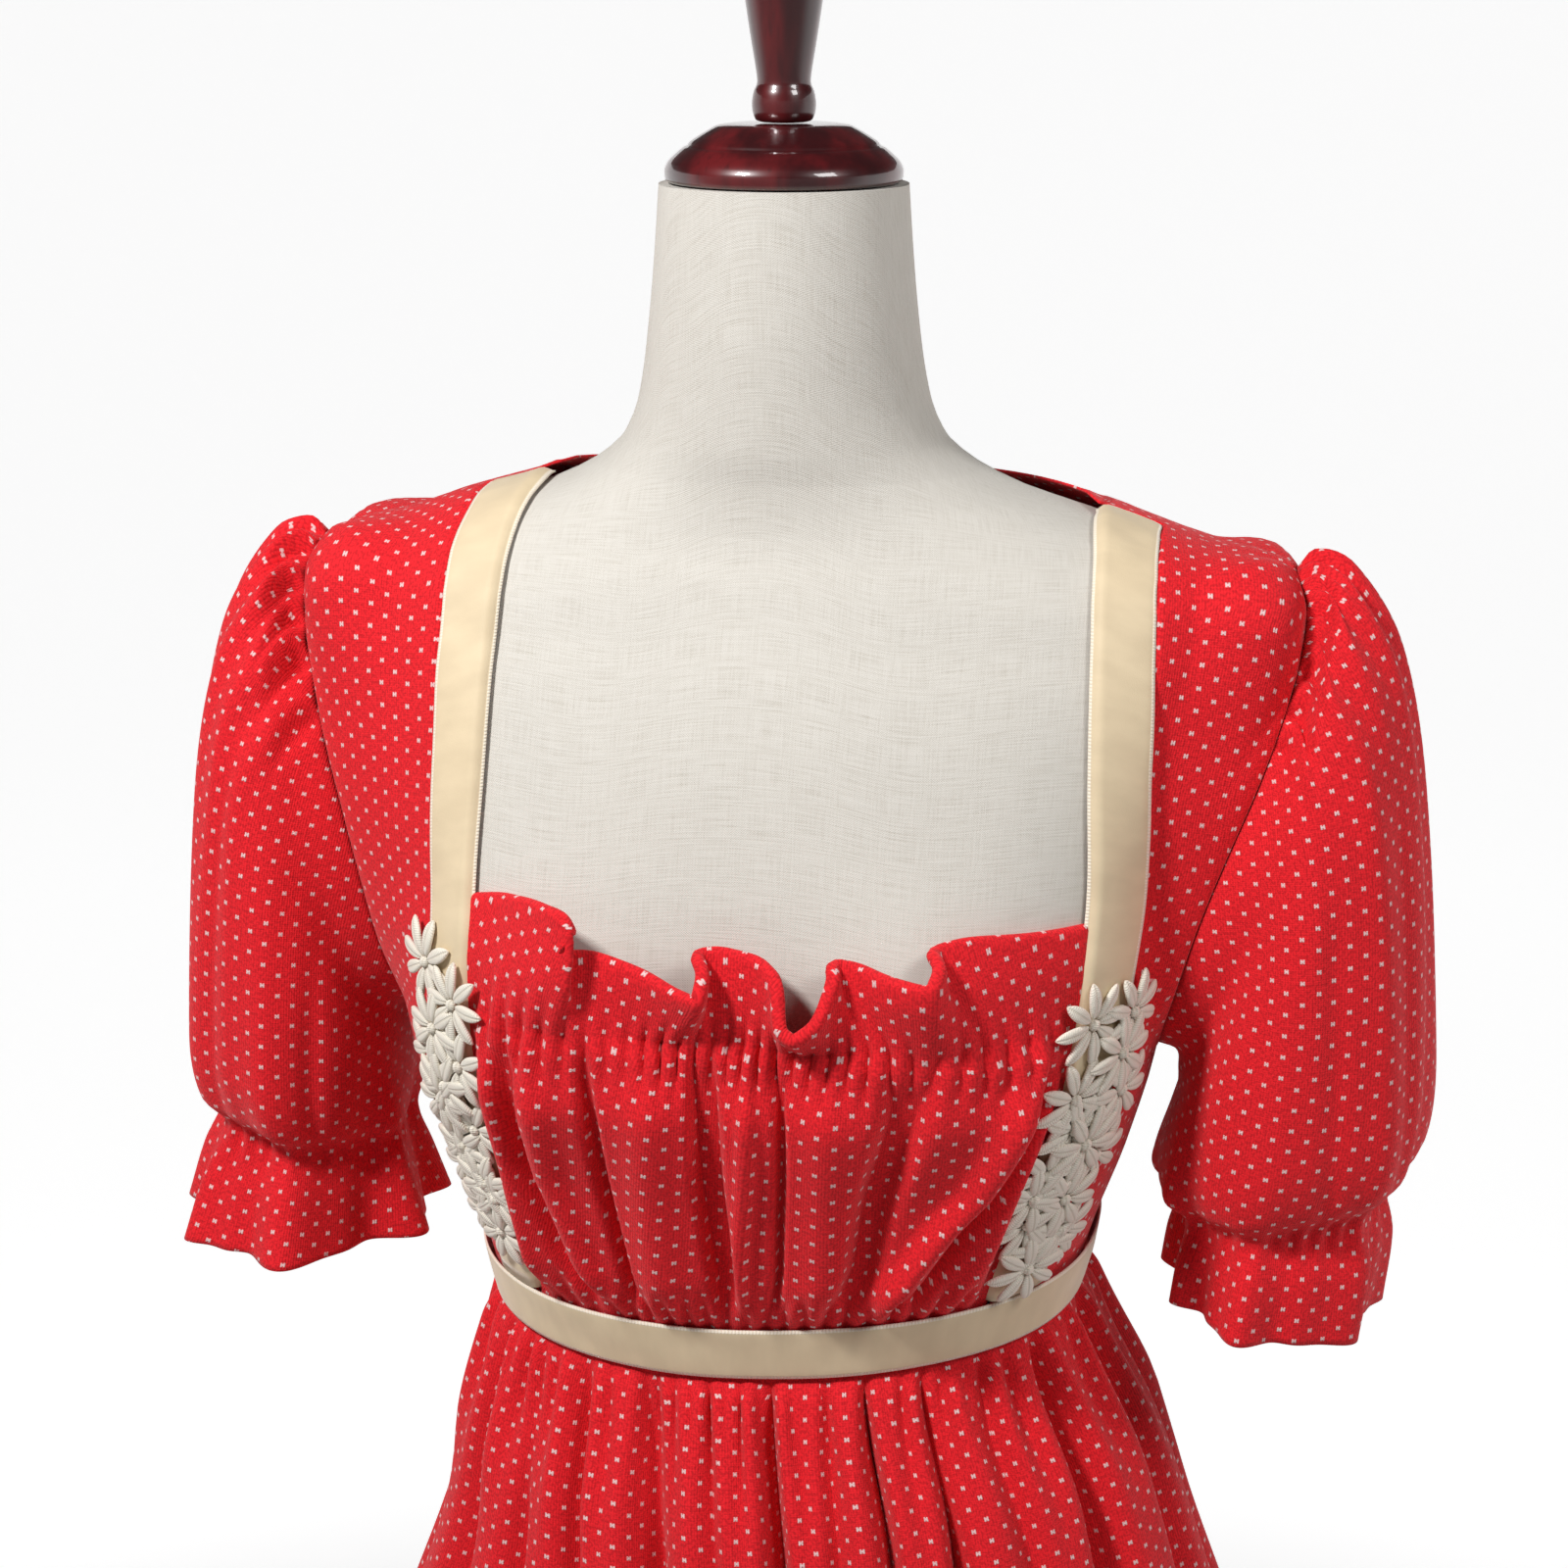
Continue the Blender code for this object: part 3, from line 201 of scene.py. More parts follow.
TOP_GATHERS = (32, 3, 0.0024)         # gathers in a row: how many, random seed, rise
FOOT_GATHERS = (23, 8, 0.0020)
TOP_GATHERS_AT = (0.985, 0.075)       # level and half height of the rows of gathers
FOOT_GATHERS_AT = (0.15, 0.07)
LAST_LEVEL = 0.985        # the panel's last row lies this far up to the gathering line
RUFFLE_FOOT = 0.0012      # the ruffle starts this far above it
RUFFLE_STAND = 1.25       # the ruffle stands off the form by this share of the table's
EDGE_STEPS = 900          # the ruffle's edge is drawn in so many steps
EDGE_SOFT = 20            # and each is softened over so many steps either way
PANEL_WIDTH = 0.22        # metres that a share of 1 across the panel stands for there
EDGE_ROLL = 0.0016        # radius of the ruffle's rolled edge
# Degrees round the roll at which its rows lie
ROLL_TURNS = (30, 60, 90, 120, 150, 180, 215)
CREASE_LEVELS = (0.1, 0.3, 0.6, 1.0)
# Creases of the bust panel: place across it at the four crease levels, from the top one down,
# half width (share of the panel), rise (a crest) or fall (a trough) in mm
BUST_CREASES = [
    (0.020, 0.030, 0.045, 0.060, 0.030, 5.5),
    (0.075, 0.085, 0.120, 0.180, 0.020, -9.5),
    (0.120, 0.130, 0.170, 0.220, 0.022, 5.0),
    (0.195, 0.225, 0.250, 0.265, 0.015, -8.0),
    (0.300, 0.315, 0.325, 0.330, 0.045, 5.5),
    (0.405, 0.430, 0.455, 0.465, 0.030, -12.5),
    (0.500, 0.500, 0.490, 0.490, 0.018, 4.5),
    (0.555, 0.570, 0.575, 0.560, 0.014, -6.5),
    (0.640, 0.650, 0.660, 0.640, 0.040, 4.6),
    (0.770, 0.740, 0.735, 0.700, 0.034, -9.5),
    (0.930, 0.885, 0.810, 0.765, 0.024, 8.0),
    (0.965, 0.930, 0.870, 0.815, 0.018, -8.5),
    (0.990, 0.965, 0.930, 0.900, 0.022, 3.5),
]
# Ruffle's top edge from side to side: share of the width, height, distance off the form
RUFFLE_EDGE = [
    (0.000, 1.262, 0.0022),
    (0.055, 1.265, 0.0026),
    (0.120, 1.264, 0.0100),
    (0.178, 1.260, 0.0180),
    (0.196, 1.252, 0.0170),
    (0.172, 1.248, 0.0090),
    (0.210, 1.249, 0.0060),
    (0.280, 1.245, 0.0080),
    (0.350, 1.241, 0.0140),
    (0.412, 1.240, 0.0190),
    (0.420, 1.247, 0.0130),
    (0.398, 1.252, 0.0075),
    (0.430, 1.253, 0.0060),
    (0.500, 1.251, 0.0080),
    (0.545, 1.246, 0.0140),
    (0.560, 1.232, 0.0180),
    (0.600, 1.228, 0.0190),
    (0.640, 1.234, 0.0170),
    (0.652, 1.247, 0.0110),
    (0.640, 1.251, 0.0065),
    (0.670, 1.250, 0.0060),
    (0.720, 1.246, 0.0110),
    (0.778, 1.243, 0.0180),
    (0.792, 1.250, 0.0130),
    (0.780, 1.256, 0.0070),
    (0.830, 1.259, 0.0055),
    (0.930, 1.258, 0.0030),
    (1.000, 1.258, 0.0022),
]

# Skirt: drop below the waist line, flare, depth of the folds
SKIRT_ROWS = [
    (0.0003, 0.0000, 0.0000),
    (0.0130, 0.0002, 0.0002),
    (0.0200, 0.0042, 0.0020),
    (0.0450, 0.0122, 0.0055),
    (0.1200, 0.0300, 0.0100),
    (0.1900, 0.0540, 0.0120),
    (0.2900, 0.0860, 0.0150),
    (0.5000, 0.1400, 0.0200),
]
SKIRT_HUG = (0.020, 0.080)            # drop where the cloth leaves the form, and hangs free
SKIRT_SWAY = 0.011        # the skirt hangs this far towards +X
SKIRT_SWAY_DROP = 0.12    # from this drop down
SKIRT_OFF_HIPS = 0.006    # cloth off the form where a valley would reach it
SKIRT_CREST = 0.75        # crest of a fold, in shares of the folds' depth
SKIRT_FALL = 1.9          # from there down to the bottom of a valley of depth 1
SKIRT_MIDDLE = 0.008      # the skirt's middle line lies this far towards the back
SKIRT_CLEAR = 0.0002      # the skirt stays this far off the cloth it hangs from
SKIRT_COLUMNS = 720
# Rows of the skirt as drops: close together under the ribbon, wider apart below
SKIRT_DROPS = [*np.linspace(0.0003, 0.07, 30), *np.linspace(0.07, 0.5, 44)[1:]]
SKIRT_GRAIN_ROW = 30      # flat cloth is measured across this row
SKIRT_GATHERS_FROM = (0.010, 0.016)   # drop where they start, and how far on they are full
# Gathers under the ribbon: how many all round, random seed, height, drop, half depth
FINE_GATHERS = (84, 21, 0.0021, 0.022, 0.020)
BROAD_GATHERS = (46, 33, 0.0034, 0.045, 0.035)
# Valleys between the skirt's folds: turn from the front in degrees, depth, half width (degrees)
SKIRT_VALLEYS = [
    (-172, 0.9, 3.6),
    (-157, 0.6, 3.0),
    (-144, 1.0, 3.8),
    (-129, 0.8, 3.2),
    (-113, 0.6, 3.0),
    (-100, 1.0, 4.0),
    (-84, 0.7, 3.2),
    (-68, 1.0, 3.6),
    (-54, 0.6, 2.8),
    (-42, 0.7, 2.8),
    (-25, 1.2, 5.0),
    (-10, 0.3, 3.0),
    (5, 1.1, 3.4),
    (18, 0.5, 2.6),
    (29, 1.0, 2.2),
    (41, 1.1, 2.2),
    (53, 0.4, 2.6),
    (66, 1.1, 3.4),
    (82, 0.7, 3.2),
    (97, 1.0, 3.6),
    (113, 0.6, 3.0),
    (127, 1.0, 3.8),
    (142, 0.7, 3.0),
    (158, 1.0, 3.4),
    (173, 0.6, 3.0),
]

# Left sleeve: outer x, z, inner x, z, bow, front y, back y, gathers, cuff folds
LEFT_SLEEVE_ROWS = [
    (0.2120, 1.3800, 0.1590, 1.1770, 0.0060, -0.049, 0.061, 0.0024, 0.0000),
    (0.2310, 1.3520, 0.1600, 1.1690, 0.0040, -0.056, 0.066, 0.0016, 0.0000),
    (0.2440, 1.2950, 0.1605, 1.1600, 0.0010, -0.060, 0.068, 0.0006, 0.0000),
    (0.2535, 1.1850, 0.1610, 1.1460, 0.0000, -0.060, 0.068, 0.0000, 0.0014),
    (0.2500, 1.1560, 0.1620, 1.1360, 0.0000, -0.055, 0.063, 0.0000, 0.0022),
    (0.2420, 1.1420, 0.1640, 1.1280, 0.0000, -0.045, 0.053, 0.0000, 0.0024),
    (0.2510, 1.1180, 0.1600, 1.1090, 0.0000, -0.053, 0.060, 0.0000, 0.0040),
    (0.2570, 1.0940, 0.1560, 1.0880, 0.0000, -0.060, 0.066, 0.0000, 0.0060),
]
# Right sleeve, which hangs lower and whose ruffle falls straight
RIGHT_SLEEVE_ROWS = [
    (0.2120, 1.3800, 0.1590, 1.1770, 0.0060, -0.049, 0.061, 0.0024, 0.0000),
    (0.2310, 1.3520, 0.1590, 1.1690, 0.0040, -0.056, 0.066, 0.0016, 0.0000),
    (0.2440, 1.2950, 0.1560, 1.1580, 0.0010, -0.060, 0.068, 0.0006, 0.0000),
    (0.2535, 1.1850, 0.1510, 1.1380, 0.0000, -0.060, 0.068, 0.0000, 0.0014),
    (0.2500, 1.1480, 0.1520, 1.1290, 0.0000, -0.055, 0.063, 0.0000, 0.0022),
    (0.2360, 1.1310, 0.1620, 1.1210, 0.0000, -0.045, 0.053, 0.0000, 0.0024),
    (0.2370, 1.1080, 0.1600, 1.1050, 0.0000, -0.050, 0.053, 0.0000, 0.0036),
    (0.2330, 1.0800, 0.1590, 1.0900, 0.0000, -0.053, 0.052, 0.0000, 0.0046),
]
SLEEVE_GATHERS = 8
CAP_REACH = math.radians(72)
CUFF_FOLDS = 7            # waves of the ruffle below the elastic
# Long soft folds down the puff: turn (degrees, 90 is the front), half width, depth (mm)
LEFT_LONG_FOLDS = [
    (18, 7, -2.6),
    (40, 9, 1.6),
    (62, 6, -2.2),
    (95, 8, 1.5),
    (118, 6, -2.4),
    (150, 8, -1.6),
    (-40, 8, -2.2),
    (-85, 7, -2.4),
    (-125, 8, -2.0),
]
RIGHT_LONG_FOLDS = [
    (12, 7, -2.2),
    (36, 6, -3.0),
    (50, 7, 2.2),
    (72, 6, -2.4),
    (105, 8, -1.8),
    (140, 8, -2.2),
    (-45, 8, -2.0),
    (-90, 7, -2.4),
    (-130, 8, -2.0),
]
CAP_STEP = 0.0070
CAP_SWELL = 0.0035
CAP_GATHER = 0.0015
# Pleats that run out from the cap's seam: turn (degrees), half width, depth (mm)
LEFT_PLEATS = [
    (4, 2.6, 2.8),
    (20, 2.6, 4.2),
    (36, 2.6, 4.5),
    (47, 2.0, 4.2),
    (58, 2.6, 4.5),
    (72, 2.6, 3.0),
    (-12, 2.6, 3.2),
    (-27, 2.6, 4.0),
    (-41, 2.6, 4.2),
    (-56, 2.6, 4.0),
    (-72, 2.6, 3.0),
]
RIGHT_PLEATS = [
    (2, 2.6, 3.0),
    (13, 2.6, 4.0),
    (31, 2.6, 4.5),
    (50, 2.6, 4.8),
    (60, 2.0, 4.2),
    (68, 2.0, 4.0),
    (-14, 2.6, 3.5),
    (-28, 2.6, 4.2),
    (-44, 2.6, 4.0),
    (-60, 2.6, 4.2),
    (-74, 2.6, 3.0),
]
PLEAT_START = 0.6         # a pleat is full at this share of the way to the ring past the seam
PLEAT_FADE = 0.25         # and fades from this share of its length
PLEAT_SWEEP = 7.0         # degrees that a pleat drifts downwards over its length
PLEAT_LENGTH = 0.034
PLEAT_SWELL = (1.7, 0.6)  # a crest beside each pleat: half widths away, share of its depth
SLEEVE_COLUMNS = 320
SLEEVE_ROWS = 96
SLEEVE_LENGTH = 0.24      # from the cap's seam to the elastic
# Rings of a sleeve, counted from the seam: the one past it, the widest, the elastic's
RISING_RING = 1
WIDEST_RING = 4
ELASTIC_RING = 7
ELASTIC_GATHERS = (31, 17, 0.0011)    # how many all round, random seed, height
ELASTIC_SPREAD = 0.040
CUFF_DRIFT = 1.1          # how unevenly the cuff's waves are spaced
CUFF_TWICE = 0.35         # share of the smaller waves between them
CUFF_THRICE = 0.4         # share of the broad sway under them

# One daisy, in metres; its petals' length is one of the settings
PETALS = 8
PETAL_WIDTH = 0.195       # half width, in shares of the length
PETAL_FROM = 0.0018       # from the daisy's middle
PETAL_THICK = 0.0016
PETAL_GROOVE = 0.0006
PETAL_CURL = 0.0012
PETAL_LIFT = 0.0011
KNOT_RADIUS = 0.0024
KNOT_HEIGHT = 0.0020
KNOT_LIFT = 0.0018
KNOT_MAP_SHIFT = 0.001    # keeps the thread's direction the same all over the knot
DAISY_STEP = 0.0009       # one daisy lies this much over the next, in threes
# Daisies: height, distance outwards from the ribbon's middle (mm), turn (degrees)
DAISIES_RIGHT = [
    (1.2237, -8, 10),
    (1.2235, 13, 30),
    (1.2090, 9, 12),
    (1.1950, -9, 25),
    (1.1930, 15, 0),
    (1.1750, 3, 40),
    (1.1664, 14, 15),
    (1.1642, -9, 5),
    (1.1500, 4, 35),
    (1.1403, -8, 20),
    (1.1281, 4, 0),
    (1.1540, -11, 15),
    (1.1820, -4, 22),
    (1.1340, 9, 30),
    (1.1190, -2, 12),
]
DAISIES_LEFT = [
    (1.2357, 12, 20),
    (1.2238, -6, 5),
    (1.2110, 7, 12),
    (1.1992, 13, 35),
    (1.1991, -6, 20),
    (1.1806, 10, 0),
    (1.1704, -5, 30),
    (1.1590, 6, 10),
    (1.1443, -3, 25),
    (1.1322, 2, 0),
    (1.1200, -3, 20),
    (1.1880, 5, 30),
    (1.1650, 11, 18),
    (1.1500, 7, 40),
    (1.1380, -7, 8),
    (1.1260, 7, 33),
]


def curve_through(table, column):
    """A smooth curve through one column of a table, without overshoot, over its first."""
    at = np.array([row[0] for row in table], float)
    value = np.array([row[column] for row in table], float)
    step = np.diff(at)
    rise = np.diff(value) / step
    slope = np.zeros_like(value)
    slope[0] = rise[0]
    slope[-1] = rise[-1]
    for i in range(1, len(at) - 1):
        if rise[i - 1] * rise[i] > 0.0:
            before = 2.0 * step[i] + step[i - 1]
            after = step[i] + 2.0 * step[i - 1]
            slope[i] = (before + after) / (before / rise[i - 1] + after / rise[i])

    def curve(x):
        x = np.clip(np.asarray(x, float), at[0], at[-1])
        i = np.clip(np.searchsorted(at, x) - 1, 0, len(step) - 1)
        t = (x - at[i]) / step[i]
        return ((1 + 2 * t) * (1 - t) ** 2 * value[i]
                + t * (1 - t) ** 2 * step[i] * slope[i]
                + t * t * (3 - 2 * t) * value[i + 1]
                - t * t * (1 - t) * step[i] * slope[i + 1])

    return curve


half_width = curve_through(FORM_RINGS, 1)
front_depth = curve_through(FORM_RINGS, 2)
back_depth = curve_through(FORM_RINGS, 3)
ring_middle = curve_through(FORM_RINGS, 4)
squareness = curve_through(FORM_RINGS, 5)
neck_inner = curve_through(NECKLINE, 1)
neck_outer = curve_through(NECKLINE, 2)
dress_shift = curve_through(DRESS_SHIFT, 1)
armhole_out = curve_through(ARMHOLE_OUT, 1)
skirt_flare = curve_through(SKIRT_ROWS, 1)
skirt_fold = curve_through(SKIRT_ROWS, 2)


def smooth_step(x):
    """Soft rise from 0 at 0 to 1 at 1."""
    x = np.clip(x, 0.0, 1.0)
    return x * x * (3.0 - 2.0 * x)


def ramp(x, start, over):
    """Soft rise from 0 at the start to 1 a distance after it."""
    return smooth_step((x - start) / over)


def form_point(turn, height):
    """Point on the form: turn is the angle from the front, positive towards +X."""
    turn, height = np.broadcast_arrays(np.asarray(turn, float), np.asarray(height, float))
    ahead = np.cos(turn)
    depth = np.where(ahead > 0.0, front_depth(height), back_depth(height))
    power = squareness(height)
    reach = (np.abs(np.sin(turn) / half_width(height)) ** power
             + np.abs(ahead / depth) ** power) ** (-1.0 / power)
    x = reach * np.sin(turn)
    y = ring_middle(height) - reach * ahead
    aside = (np.abs(x) - BUST_ACROSS) / BUST_SPREAD[0]
    above = (height - BUST_HEIGHT) / BUST_SPREAD[1]
    y = y - BUST_RISE * np.exp(-aside ** 2 - above ** 2) * np.clip(2.0 * ahead, 0.0, 1.0)
    return np.stack([x, y, height], axis=-1)


def bell(x, middle, half):
    """A soft bump of height 1 about its middle."""
    return np.exp(-((x - middle) / half) ** 2)


def on_form(turn, height, lift):
    """Point at a distance off the form's surface."""
    turn, height = np.broadcast_arrays(np.asarray(turn, float), np.asarray(height, float))
    small_turn = 2e-3
    small_rise = 2e-4
    round_it = form_point(turn + small_turn, height) - form_point(turn - small_turn, height)
    up_it = form_point(turn, height + small_rise) - form_point(turn, height - small_rise)
    normal = np.cross(round_it, up_it)
    normal = normal / np.linalg.norm(normal, axis=-1, keepdims=True)
    return form_point(turn, height) + normal * np.asarray(lift, float)[..., None]


def form_gap(points):
    """How far points lie outside the form, measured level from its axis."""
    middle = ring_middle(points[..., 2])
    turn = np.arctan2(points[..., 0], middle - points[..., 1])
    skin = form_point(turn, points[..., 2])
    return (np.hypot(points[..., 0], points[..., 1] - middle)
            - np.hypot(skin[..., 0], skin[..., 1] - middle))


def keep_off(points, least):
    """Move points straight off the form until they clear it by a distance."""
    small = 0.0004
    for _ in range(4):
        gap = form_gap(points)
        slope = np.stack([(form_gap(points + step) - form_gap(points - step)) / (2.0 * small)
                          for step in small * np.eye(3)], axis=-1)
        steep = np.linalg.norm(slope, axis=-1)
        short = np.maximum(least - gap / steep, 0.0)
        points = points + (short / steep)[..., None] * slope
    return points


def turn_at(across, height, at_back=False):
    """Turn at which the form reaches a distance from its middle, along X."""
    share = np.clip(across / half_width(height), 0.0, 1.0)
    power = squareness(height)
    depth = back_depth(height) if at_back else front_depth(height)
    ahead = depth * (1.0 - share ** power) ** (1.0 / power)
    turn = np.arctan2(share * half_width(height), ahead)
    return np.pi - turn if at_back else turn


def waist_height(turn):
    """Middle of the waist ribbon: lowest in front, higher at the sides."""
    return WAIST_FRONT + WAIST_SIDE_RISE * (1.0 - np.cos(turn)) / 1.4 + WAIST_TILT * np.sin(turn)


def resample(points, shares):
    """Points at shares of the length of a fine line of points."""
    steps = np.linalg.norm(np.diff(points, axis=0), axis=1)
    length = np.concatenate([[0.0], np.cumsum(steps)])
    wanted = np.asarray(shares) * length[-1]
    return np.stack([np.interp(wanted, length, points[:, k]) for k in range(points.shape[1])],
                    axis=1)


def armhole_point(side, turn, at_back):
    """Armhole seam of one side: turn runs from 0 at the armpit to pi at the shoulder."""
    turn = np.asarray(turn, float)
    middle = (ARMPIT + SHOULDER_TIP) / 2.0
    height = middle - (SHOULDER_TIP - ARMPIT) / 2.0 * np.cos(turn)
    back, fuller = (1.0, ARMHOLE_LOW_BACK) if at_back else (-1.0, ARMHOLE_LOW_FRONT)
    y = ARMHOLE_MIDDLE + back * ARMHOLE_DEPTH * np.sin(turn) * (1.0 + fuller * np.cos(turn))
    x = side * armhole_out(height) + ARMHOLE_SHIFT * ramp(height, *ARMHOLE_SHIFT_RISE)
    return np.stack([x, y, height], axis=-1)


def armhole_turn(side, height, at_back):
    """Turn of the panel's outer edge on the form, at the side seam and the armhole."""
    middle = (ARMPIT + SHOULDER_TIP) / 2.0
    level = np.clip((middle - height) / ((SHOULDER_TIP - ARMPIT) / 2.0), -1.0, 1.0)
    y = armhole_point(side, np.arccos(level), at_back)[..., 1]
    depth = back_depth(height) if at_back else front_depth(height)
    ahead = np.clip(np.abs(ring_middle(height) - y) / depth, 0.0, 1.0)
    turn = np.arctan2(half_width(height) * (1.0 - ahead ** 2) ** 0.5, ahead * depth)
    return np.pi - turn if at_back else turn


def column_across(side, column, height):
    """Distance from the form's middle at which a panel's column runs."""
    shift = side * dress_shift(height)
    inner = neck_inner(height) + shift
    outer = neck_outer(height) + shift
    if column <= 0.0:
        return inner * (1.0 + column)
    if column <= 1.0:
        return inner + (outer - inner) * column
    return outer + (SHOULDER_OUT - outer) * (column - 1.0)


def panel_turn(side, column, height, at_back):
    """Turn of a panel's column: 0 at the neckline's edge, 1 at the ribbon's outer edge,
    2 at the side seam and the armhole; on the back -1 is the middle."""
    high_turn = turn_at(column_across(side, column, height), height, at_back)
    low_turn = high_turn
    if column > 1.0:
        from_turn = turn_at(column_across(side, 1.0, height), height, at_back)
        to_turn = armhole_turn(side, height, at_back)
        low_turn = from_turn + (to_turn - from_turn) * (column - 1.0)
    share = ramp(height, *UPPER_COLUMNS)
    return low_turn + (high_turn - low_turn) * share


def column_top(side, column, at_back):
    """Height at which a column reaches the shoulder seam, or the back neckline."""
    heights = np.linspace(SHOULDER_WIDEST, NECK_TOP, 1200)
    inside = column_across(side, column, heights) < half_width(heights)
    top = heights[np.argmin(inside)] if not inside.all() else heights[-1]
    if at_back and column < 0.0:
        beside = column_top(side, 0.0, True)
        top = min(top, BACK_NECK + (beside - BACK_NECK) * (1.0 + column) ** 5)
    return top


def armhole_shares():
    """Shares of the way round the armhole, closer together towards the shoulder."""
    return 1.0 - (1.0 - np.linspace(0.0, 1.0, ARMHOLE_ROWS + 1)[1:]) ** ARMHOLE_CROWDING


def panel_shares():
    """Shares of a column's length at the panel's rows; the first rows meet the side seam."""
    seam = np.linspace(0.0, SEAM_SHARE, SEAM_ROWS + 1)
    armhole = SEAM_SHARE + (1.0 - SEAM_SHARE) * armhole_shares()
    return np.concatenate([seam, armhole])


def panel_edge(side, at_back, lift):
    """Outer edge of a panel: up the side seam, then round the armhole to the shoulder."""
    low = waist_height(side * math.pi / 2) + SEAM
    heights = np.linspace(low, ARMPIT, SEAM_ROWS + 1)
    seam = on_form(math.pi / 2, heights, lift)
    seam[:, 0] *= side
    armpit = armhole_point(side, 0.0, at_back)
    seam += smooth_step(np.linspace(0.0, 1.0, SEAM_ROWS + 1))[:, None] * (armpit - seam[-1])
    return np.concatenate([seam, armhole_point(side, math.pi * armhole_shares(), at_back)])


def panel_path(side, column, at_back, foot):
    """Turns and heights of a column's rows, from above the waist to the shoulder."""
    start = panel_turn(side, column, np.array(COLUMN_FOOT), at_back)
    low = waist_height(side * float(start)) + SEAM
    heights = np.linspace(low, column_top(side, column, at_back), COLUMN_STEPS)
    turns = panel_turn(side, column, heights, at_back)
    steps = np.linalg.norm(np.diff(form_point(turns, heights), axis=0), axis=1)
    length = np.concatenate([[0.0], np.cumsum(steps)])
    start = np.interp(low + foot, heights, length)
    wanted = start + panel_shares() * (length[-1] - start)
    return np.interp(wanted, length, turns), np.interp(wanted, length, heights)


def panel_column(side, column, at_back, lift, foot=0.0):
    """One column of a side front, of the back or of a front ribbon."""
    turns, heights = panel_path(side, column, at_back, foot)
    loose = 0.0
    if at_back:
        loose = BACK_EASE * ramp(heights, *BACK_EASE_RISE) * smooth_step(-2.0 * column)
    line = on_form(turns, heights, lift + loose * np.ones_like(heights))
    line[:, 0] *= side
    return line


def half_panel(side, columns, at_back, lift=EASE):
    """Points of a panel: rows up, columns from the neckline towards the armhole."""
    lines = [panel_column(side, column, at_back, lift) for column in columns]
    pull = panel_edge(side, at_back, lift) - lines[-1]
    for k, column in enumerate(columns):
        share = ramp(column, *PULLED_COLUMNS)
        lines[k] = lines[k] + share * pull
        if column < 2.0:
            tight = ramp(lines[k][:, 2], *SHOULDER_RISE) * (at_back or column > 1.0)
            lines[k] = keep_off(lines[k], lift + SHOULDER_EASE * tight)
    return np.stack(lines, axis=1)


def across_and_down(points):
    """Lengths along the cloth: across each row, and down each column."""
    steps_across = np.linalg.norm(np.diff(points, axis=1), axis=2)
    steps_down = np.linalg.norm(np.diff(points, axis=0), axis=2)
    across = np.pad(np.cumsum(steps_across, axis=1), ((0, 0), (1, 0)))
    down = np.pad(np.cumsum(steps_down, axis=0), ((1, 0), (0, 0)))
    return across, down


def normals_of(points):
    """Unit normals of a grid of points."""
    along = np.gradient(points, axis=1)
    up = np.gradient(points, axis=0)
    normal = np.cross(along, up)
    size = np.linalg.norm(normal, axis=2, keepdims=True)
    return normal / np.maximum(size, 1e-12)


def grid_mesh(points):
    """A mesh of rows and columns of points."""
    rows, columns = points.shape[:2]
    mesh = bmesh.new()
    bmesh.ops.create_grid(mesh, x_segments=columns - 1, y_segments=rows - 1, size=1.0)
    for vert, place in zip(mesh.verts, points.reshape(-1, 3)):
        vert.co = place
    mesh.verts.index_update()
    return mesh


def face_outwards(mesh, middle):
    """Turn an open sheet's faces away from its middle line."""
    mesh.normal_update()
    total = 0.0
    for face in mesh.faces:
        away = face.calc_center_median()
        reach = middle(away)
        total += face.calc_area() * sum(face.normal[k] * (away[k] - reach[k]) for k in range(3))
    if total < 0.0:
        bmesh.ops.reverse_faces(mesh, faces=mesh.faces)


def hanging_map(points, anchors, flat_row):
    """Flat cloth coordinates of hanging folds, each measured from its own crest column."""
    across, down = across_and_down(points)

    def place(row, column, face_column):
        anchor = anchors[face_column]
        u = across[row, column] - across[row, anchor] + across[flat_row, anchor]
        return u, down[row, column]

    return place


